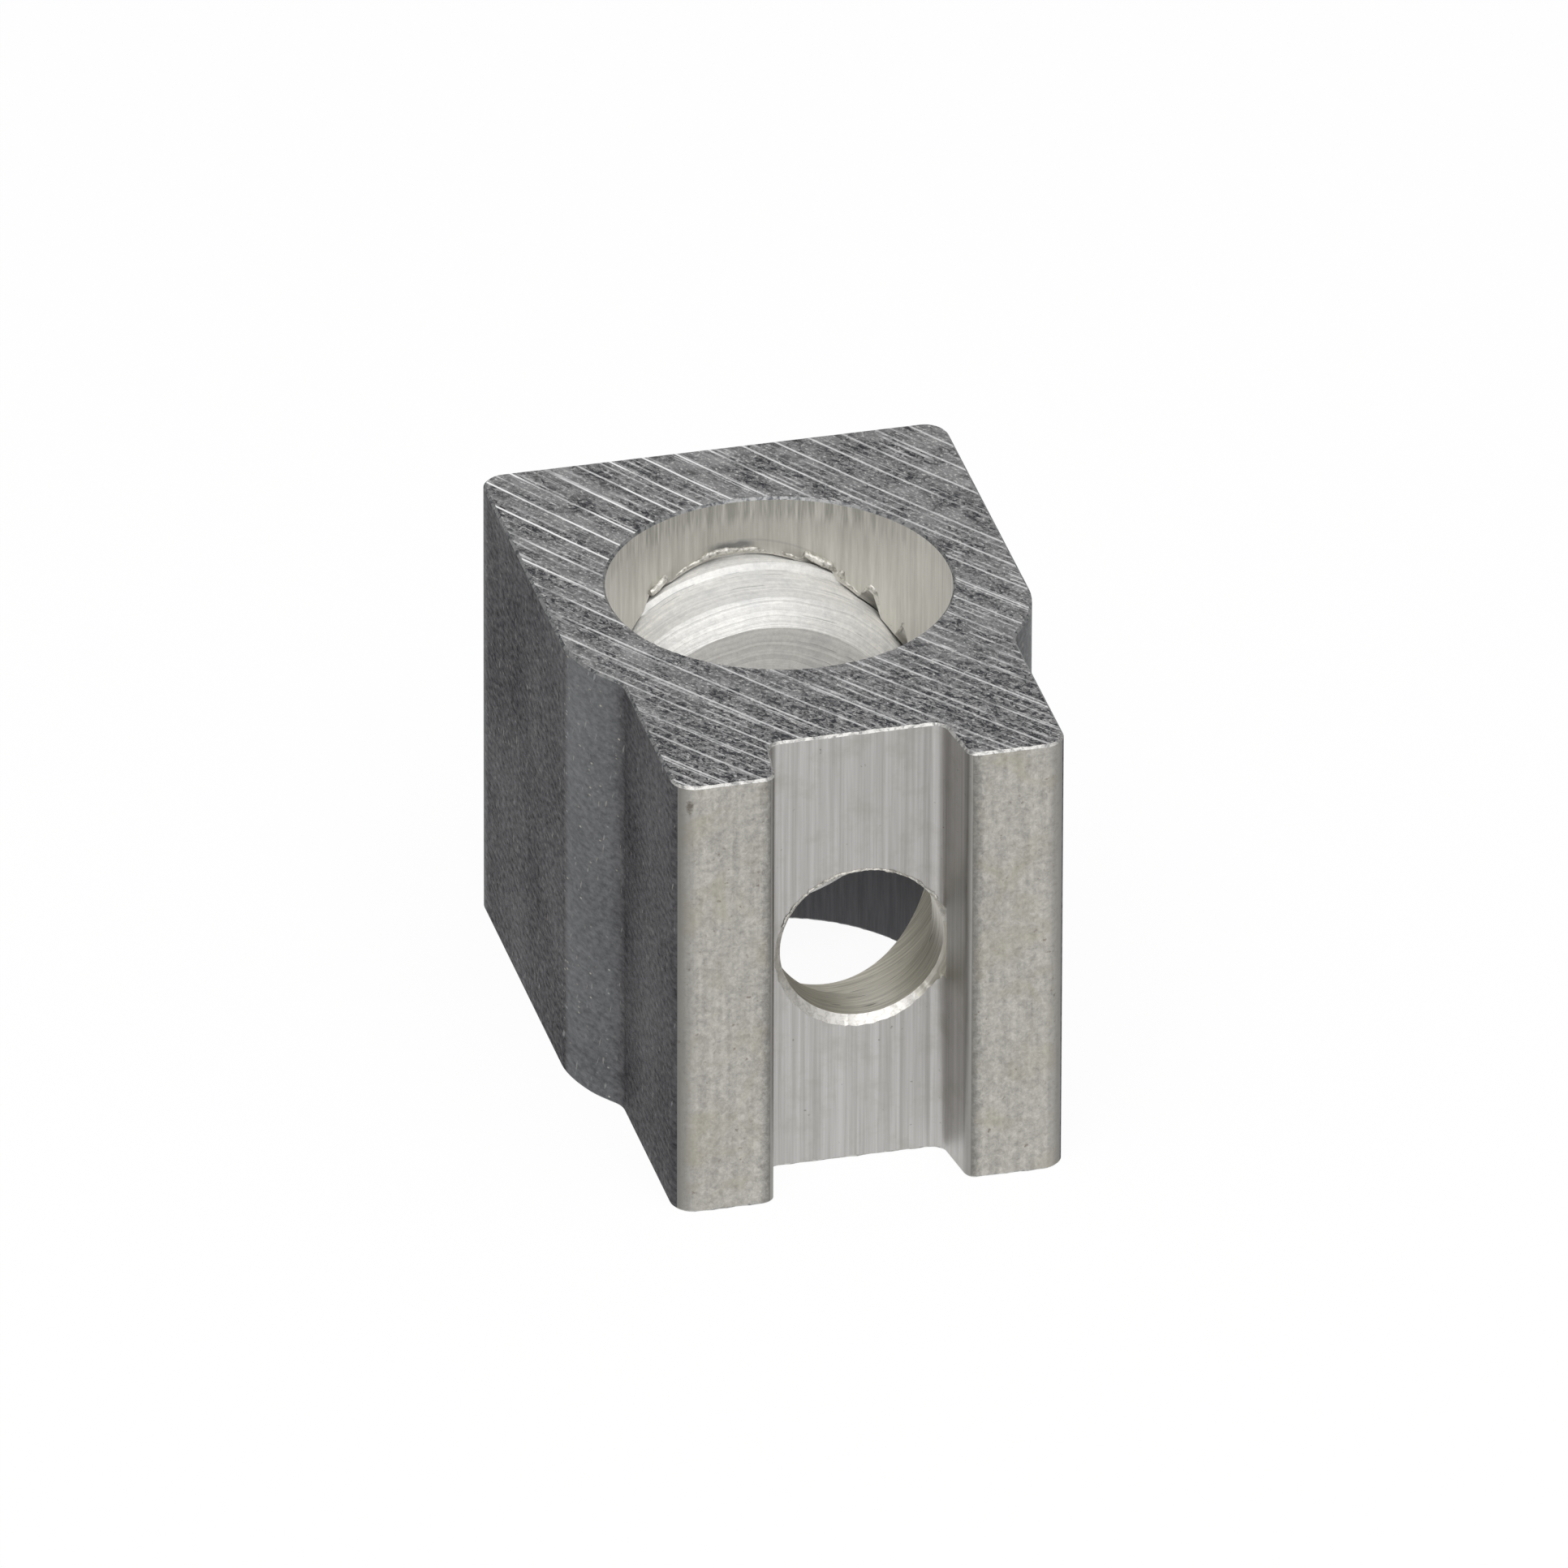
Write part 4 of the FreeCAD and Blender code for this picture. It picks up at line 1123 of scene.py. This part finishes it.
# %% Tapped hole
CREST_AT = 4.79
TAP_BOTTOM = -2.62
tap = threaded_bar(
    "tap", crest=7.97, pitch_radius=7.52, root=7.43,
    crest_at=CREST_AT, first_turn=-7, turns=15, finish=TAPPED,
)
plain = [(0, TAP_BOTTOM, 0), (0, TAP_BOTTOM, 8.6), (0, BACK + 1, 8.6), (0, BACK + 1, 0)]
reach = turn_on_lathe(draw("tap_reach", plain), 128, TAPPED)
combine(tap, reach, "INTERSECT")
move(tap, 0, 0, MIDDLE)
combine(lug, tap, "DIFFERENCE")
cone = [(0, BACK - 0.6, 0), (0, BACK - 0.6, 7.52), (0, BACK + 0.4, 8.52), (0, BACK + 0.4, 0)]
mouth = turn_on_lathe(draw("tap_mouth", cone), 128, TAPPED)
move(mouth, 0, 0, MIDDLE)
combine(lug, mouth, "DIFFERENCE")

# %% [markdown]
# ### Mounting hole
# One stepped drill leaves the hole in the groove's floor and the wider seat behind it, for
# the head of the screw that fastens the lug. Both were drilled 0.35 mm off the middle.

# %% Mounting hole, with the seat for the screw's head behind it
DRILL_X, DRILL_RADIUS = 0.35, 3.42
HEAD_SEAT, HEAD_SEAT_FLOOR = 5.0, -10.7
drill = turn_on_lathe(
    draw("drill", [
        (0, -3.5, 0), (0, -3.5, HEAD_SEAT), (0, HEAD_SEAT_FLOOR, HEAD_SEAT),
        (0, HEAD_SEAT_FLOOR, DRILL_RADIUS), (0, GROOVE_FLOOR - 0.3, DRILL_RADIUS),
        (0, GROOVE_FLOOR - 0.3, 0),
    ]),
    128, DRILLED,
)
move(drill, DRILL_X, 0, MIDDLE)
combine(lug, drill, "DIFFERENCE")

# %% [markdown]
# ### Rim of the mounting hole
# A countersink was run round the hole by hand, off its middle, so the bright rim is wide at
# the bottom left and fades out at the top right. A cone that is shifted by a tenth of a
# millimetre cuts just that, and its edge is shifted a little at random.

# %% Rim, deburred by hand
rim = turn_on_lathe(
    draw("rim", [
        (0, GROOVE_FLOOR + 2, 0), (0, GROOVE_FLOOR + 0.35, DRILL_RADIUS - 0.13),
        (0, GROOVE_FLOOR - 0.01, DRILL_RADIUS + 0.225),
        (0, GROOVE_FLOOR - 0.5, DRILL_RADIUS + 0.4), (0, GROOVE_FLOOR - 0.5, 0),
    ]),
    128, RIM,
)
level = GROOVE_FLOOR - 0.01
open_piece(rim)
ragged(rim, lambda c: near(c[0].y, level), 0.05, 2, (1, 0, 1), (0, level, 0))
close_piece()
move(rim, DRILL_X - 0.07, 0, MIDDLE - 0.12)
combine(lug, rim, "DIFFERENCE")

# %% [markdown]
# ### Finishes by place
# The cutters brought their finishes along. The faces that the die and the saw made are
# still all sawn, so they are sorted by how they tilt and where they stand.

# %% Finishes by place
for finish in (SIDE, JAW, GROOVE, LIP_BRIGHT, LIP_DULL):
    lug.data.materials.append(finish)
slots = {finish.name: number for number, finish in enumerate(lug.data.materials)}
for face in lug.data.polygons:
    if lug.data.materials[face.material_index] is not SAWN:
        continue
    middle, tilt = face.center * 1000, abs(face.normal.z)
    if tilt > 0.95:
        continue
    if tilt > 0.2:
        finish = LIP_BRIGHT if middle.y < GROOVE_FLOOR + 0.15 else LIP_DULL
    elif middle.y < GROOVE_FLOOR + 0.3 and abs(middle.x) < GROOVE_MOUTH + 0.2:
        finish = GROOVE
    elif middle.y < FRONT + 0.5:
        finish = JAW
    else:
        finish = SIDE
    face.material_index = slots[finish.name]
for face in lug.data.polygons:
    finish = lug.data.materials[face.material_index]
    if finish is WIRE_WALL and abs(face.normal.z) > 0.3:
        face.material_index = slots[LIP_DULL.name]
    if finish is RIM:
        # the countersink is narrower on the right and at the top, and there the rim takes the drilled
        # wall's darker finish as painted shade, except between 10 and 33 degrees, where it stays bright as
        # a painted highlight
        turn = math.degrees(math.atan2(face.center.z * 1000 - MIDDLE, face.center.x * 1000 - DRILL_X))
        if -50 < turn < 10 or 33 < turn < 110:
            face.material_index = slots[DRILLED.name]
for name, number in slots.items():
    print(name, sum(1 for face in lug.data.polygons if face.material_index == number), "faces")

# %% [markdown]
# ## The set screw
# It was turned from bar: a flat tip, a steep bevel behind it, and a plain collar before the
# thread starts. The thread is cut shallow and a little undersize, so its crests are flat and
# its flanks show as thin lines. The blank comes first, then the key's socket in its back, and
# last the thread: the blank keeps only what it shares with a threaded bar that has the collar
# on its front.

# %% Blank with its hexagon socket
SCREW_TIP, SCREW_END = 2.9, 14.0
KEY_ACROSS = 7.94
screw = turn_on_lathe(
    draw("screw", [
        (0, SCREW_TIP, 0), (0, SCREW_TIP, 6.2), (0, SCREW_TIP + 0.65, 7.28), (0, SCREW_TIP + 1.8, 7.39),
        (0, SCREW_TIP + 2.9, 7.6), (0, SCREW_END - 0.9, 7.62), (0, SCREW_END, 6.8), (0, SCREW_END, 0),
    ]),
    160, TURNED,
)
socket = KEY_ACROSS / 2 / math.cos(math.pi / 6)
bpy.ops.object.select_all(action="DESELECT")
bpy.ops.mesh.primitive_cylinder_add(
    vertices=6, radius=socket * MM, depth=7 * MM,
    location=(0, (SCREW_END - 2.5) * MM, 0), rotation=(math.pi / 2, math.pi / 2, 0),
)
key = bpy.context.object
key.name = "key"
settle(key)
key.data.materials.append(TURNED)
combine(screw, key, "DIFFERENCE")
cone = [(0, SCREW_END - 7.6, 0), (0, SCREW_END - 5.9, 4.2), (0, SCREW_END - 5.9, 0)]
point = turn_on_lathe(draw("drill_point", cone), 96, TURNED)
combine(screw, point, "DIFFERENCE")

# %% [markdown]
# ### The screw's thread
# The same helper that made the tap makes this ridge, thinner and 0.15 mm further forward,
# where the screw leans on the thread's flanks. It keeps clear of the lug when it travels.

# %% Its thread, which starts behind a plain collar
ridge = threaded_bar(
    "ridge", crest=7.8, pitch_radius=7.24, root=7.35,
    crest_at=CREST_AT - 0.15, first_turn=-4, turns=14, finish=TURNED,
)
start, stop = SCREW_TIP - 1, SCREW_TIP + 1.7
plain = [(0, start, 0), (0, start, 7.75), (0, stop, 7.75), (0, stop, 0)]
collar = turn_on_lathe(draw("collar", plain), 160, TURNED)
combine(ridge, collar, "UNION")
combine(screw, ridge, "INTERSECT")
move(screw, 0, 0, MIDDLE)

# %% [markdown]
# ## Burrs
# Where the tap broke through the wall of the wire hole, the soft metal was pushed ahead of
# it and stayed on the edge as a ragged bead: thick on the right, and smeared into a patch
# high at the back. The edge itself is the best guide, so it is copied off the lug as a
# line, given a thickness that changes along it, and lumps are pushed into that bead.

# %% A bead along the edge between two finishes
def bead(name, first, others, thickness, shift):
    """Copy an edge off the lug and turn it into a lumpy bead. Radius and shift are in mm."""
    open_piece(lug)
    bpy.ops.mesh.select_mode(type="EDGE")
    bpy.ops.mesh.select_all(action="DESELECT")
    mesh = bmesh.from_edit_mesh(lug.data)
    number = list(lug.data.materials).index
    pairs = [{number(first), number(other)} for other in others]
    length = 0
    for edge in mesh.edges:
        sides = {face.material_index for face in edge.link_faces}
        if sides in pairs and thickness(edge.verts[0].co * 1000):
            edge.select_set(True)
            length += edge.calc_length() * 1000
    bmesh.update_edit_mesh(lug.data)
    bpy.ops.mesh.duplicate()
    bpy.ops.mesh.separate(type="SELECTED")
    close_piece()
    piece = [o for o in bpy.context.selected_objects if o is not lug][0]
    piece.name = name
    choose(piece)
    bpy.ops.object.convert(target="CURVE")
    piece.data.bevel_depth = MM
    piece.data.bevel_resolution = 2
    piece.data.use_fill_caps = True
    for spline in piece.data.splines:
        for point in spline.points:
            spot = point.co.to_3d() * 1000
            point.radius = thickness(spot) or 0.03
            point.co = ((spot + shift(spot, point.radius)) * MM).to_4d()
    bpy.ops.object.convert(target="MESH")
    finish_step(piece, "REMESH", mode="VOXEL", voxel_size=0.04 * MM)
    lumps = bpy.data.textures.new("lumps", "CLOUDS")
    lumps.noise_scale = 0.25 * MM
    finish_step(
        piece, "DISPLACE", texture=lumps, texture_coords="LOCAL",
        strength=0.08 * MM, mid_level=0.45,
    )
    piece.data.materials.clear()
    piece.data.materials.append(BURR)
    print("%s: bead along %.1f mm of edge" % (name, length))
    tell(piece)
    return piece


# %% [markdown]
# ### The tap's burr
# The function below says how thick the bead is at a spot: nothing low down and at the far
# left, thick in the notches, swollen high at the back, and snagged on the right.

# %% Burr left by the tap
def from_axis(spot):
    return Vector((spot.x, 0, spot.z - MIDDLE))


def tap_burr(spot):
    chance = 0.5 + noise.noise(spot * 1.7)
    if spot.z < MIDDLE + 1.5 or spot.x < -4.4:
        return 0
    in_notch = from_axis(spot).length > 7.6
    if in_notch and (-4.0 < spot.x < -2.9 or 2.2 < spot.x < 3.9):
        return 0.17
    if in_notch and spot.x > 3.9:
        return 0.12
    if -2.6 < spot.x < 1.2:
        swell = math.cos((spot.x + 0.7) / 1.9 * math.pi / 2)
        return 0.05 + 0.09 * swell * (0.5 + 0.7 * chance)
    snag = max(0.0, noise.noise(spot * 3.1)) if spot.x < 6 else 0.0
    return (0.02 + 0.07 * chance + 0.16 * snag) if spot.x > 1.8 else 0.015 + 0.015 * chance


def clear_of_screw(spot, radius):
    out = from_axis(spot)
    away = 7.7 + radius - out.length if radius > 0.15 else 1.6 * radius + 0.06
    return out.normalized() * away - Vector((spot.x, spot.y, 0)).normalized() * radius * 0.4


burr = bead("burr", WIRE_WALL, (TAPPED,), tap_burr, clear_of_screw)

# %% [markdown]
# ### Burr of the mounting hole
# The countersink left a fine bright line along the upper edge, about 0.1 mm thick.

# %% Burr on the upper edge of the mounting hole
def upper_edge(spot):
    if spot.z < MIDDLE + 1.2 or spot.y < GROOVE_FLOOR - 0.1:
        return 0
    return 0.05 + 0.02 * noise.noise(spot * 2)


def a_little_out(spot, radius):
    return Vector((0, -0.01, 0))


rim_burr = bead("rim_burr", GROOVE, (RIM, DRILLED), upper_edge, a_little_out)

# %% [markdown]
# ## Smooth faces
# Faces that meet at less than 28 degrees are shaded as one round, and sharper edges stay
# sharp. Weighted normals keep the big flats from bulging next to their narrow bevels.

# %% Smooth the rounds and keep the flats flat
for piece in (lug, screw, burr, rim_burr):
    choose(piece)
    bpy.ops.object.shade_smooth_by_angle(angle=math.radians(28))
    finish_step(piece, "WEIGHTED_NORMAL", mode="FACE_AREA", keep_sharp=True)
    axes = [[v.co[i] * 1000 for v in piece.data.vertices] for i in range(3)]
    print(piece.name, [[round(min(axis), 2), round(max(axis), 2)] for axis in axes])

# %% [markdown]
# ## What moves with what
# The burrs are part of the lug's own metal, so they ride on its body, and the screw rides on
# the one that slides. Each dressed piece takes the place of its CAD node.

# %% Pieces on their bodies
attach(lug, "lug")
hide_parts("lug_body")
for piece in (burr, rim_burr):
    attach(piece, "lug")
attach(screw, "screw")
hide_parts("set_screw")
print("on the lug: lug, burr, rim_burr; on the screw: screw")

# %% [markdown]
# ## Studio
# A lug like this is photographed on white paper under a broad soft lamp. The paper could be
# made white with more light, but that would wash out the metal too. So the camera, and all
# that mirrors the paper, sees it as plain white, and the light that falls on it only draws
# the shadow. It reaches 4 m out, so that no view from above shows its end.

# %% Floor of white paper
bpy.ops.object.select_all(action="DESELECT")
bpy.ops.mesh.primitive_plane_add(size=8, location=(0, 0, 0))
floor = bpy.context.object
floor.name = "floor"
paper = bpy.data.materials.new("white_paper")
paper.use_nodes = True
paper.node_tree.nodes.clear()
path = add(paper, "ShaderNodeLightPath")
seen = path.outputs["Is Camera Ray"]
for ray in ("Is Glossy Ray", "Is Transmission Ray"):
    seen = add(paper, "ShaderNodeMath", {0: seen, 1: path.outputs[ray]}, operation="MAXIMUM").outputs[0]
lit = add(paper, "ShaderNodeBsdfDiffuse", {"Color": linear("f4f4f4")}).outputs[0]
white = add(paper, "ShaderNodeEmission", {"Color": (1, 1, 1, 1), "Strength": 1.0}).outputs[0]
share = add(paper, "ShaderNodeMath", {0: seen, 1: 0.95}, operation="MULTIPLY").outputs[0]
both = add(paper, "ShaderNodeMixShader", {0: share, 1: lit, 2: white}).outputs[0]
add(paper, "ShaderNodeOutputMaterial", {"Surface": both})
floor.data.materials.append(paper)
print("floor: %.0f m wide" % floor.dimensions.x)

# %% [markdown]
# ### Light
# The room's walls and ceiling send back an even grey light from all sides, and the world
# stands in for them. One square soft box, 0.3 m wide, hangs above and in front. With more
# lamps the saw marks and the thread would lose the one side from which they catch the light.

# %% Room light and soft box
world = bpy.data.worlds.new("studio")
bpy.context.scene.world = world
world.use_nodes = True
world.node_tree.nodes.clear()
room = add(world, "ShaderNodeBackground", {"Color": (0.5, 0.5, 0.5, 1), "Strength": 1.0}).outputs[0]
add(world, "ShaderNodeOutputWorld", {"Surface": room})

light = bpy.data.lights.new("soft_box", "AREA")
light.shape, light.size, light.energy = "SQUARE", 0.3, 1.04
soft_box = bpy.data.objects.new("soft_box", light)
bpy.context.scene.collection.objects.link(soft_box)
soft_box.location = (-0.03, -0.18, 0.32)
soft_box.rotation_euler = (-soft_box.location).to_track_quat("-Z", "Y").to_euler()
print("soft box: %.2f m from the lug, %.2f W" % (soft_box.location.length, light.energy))

# %% [markdown]
# ### Camera
# The photograph is taken from far away with a long lens, as catalogue pictures are, so lines
# that are parallel on the lug stay nearly parallel. Its direction, distance and focal length
# were fitted to the corners of the section and the circles of the holes. Angles are in
# degrees and distances in millimetres. The picture's width, the focal length and the place
# of the sawn top's middle in the picture are in pixels.

# %% Camera
PICTURE = 1932
TOP_ACROSS, TOP_DOWN = 959.923, 717.916
azimuth, elevation, roll = math.radians(-14.133), math.radians(29.621), math.radians(0.170)
distance, focal = 1663.6, 50221.0
right = Vector((math.cos(azimuth), math.sin(azimuth), 0))
along_floor = math.cos(elevation)
towards = Vector((
    math.sin(azimuth) * along_floor, -math.cos(azimuth) * along_floor, math.sin(elevation),
))
up = towards.cross(right)
turned = math.cos(roll) * right + math.sin(roll) * up
up = math.cos(roll) * up - math.sin(roll) * right
right = turned
# how far the middle of the sawn top lies from the picture's centre
across = (TOP_ACROSS - PICTURE / 2) * distance / focal
rise = -(TOP_DOWN - PICTURE / 2) * distance / focal
stand = Vector((0, 0, HEIGHT)) + distance * towards - across * right - rise * up
camera = bpy.data.objects.new("camera", bpy.data.cameras.new("camera"))
bpy.context.scene.collection.objects.link(camera)
camera.data.sensor_width = 36
camera.data.lens = focal / PICTURE * 36
camera.data.clip_start, camera.data.clip_end = 0.1, 10
camera.matrix_world = Matrix.Translation(stand * MM) @ Matrix((right, up, towards)).transposed().to_4x4()
bpy.context.scene.camera = camera
bpy.context.scene.view_settings.view_transform = "Standard"
print("camera at", [round(v, 3) for v in stand * MM], "m, lens %.0f mm" % camera.data.lens)
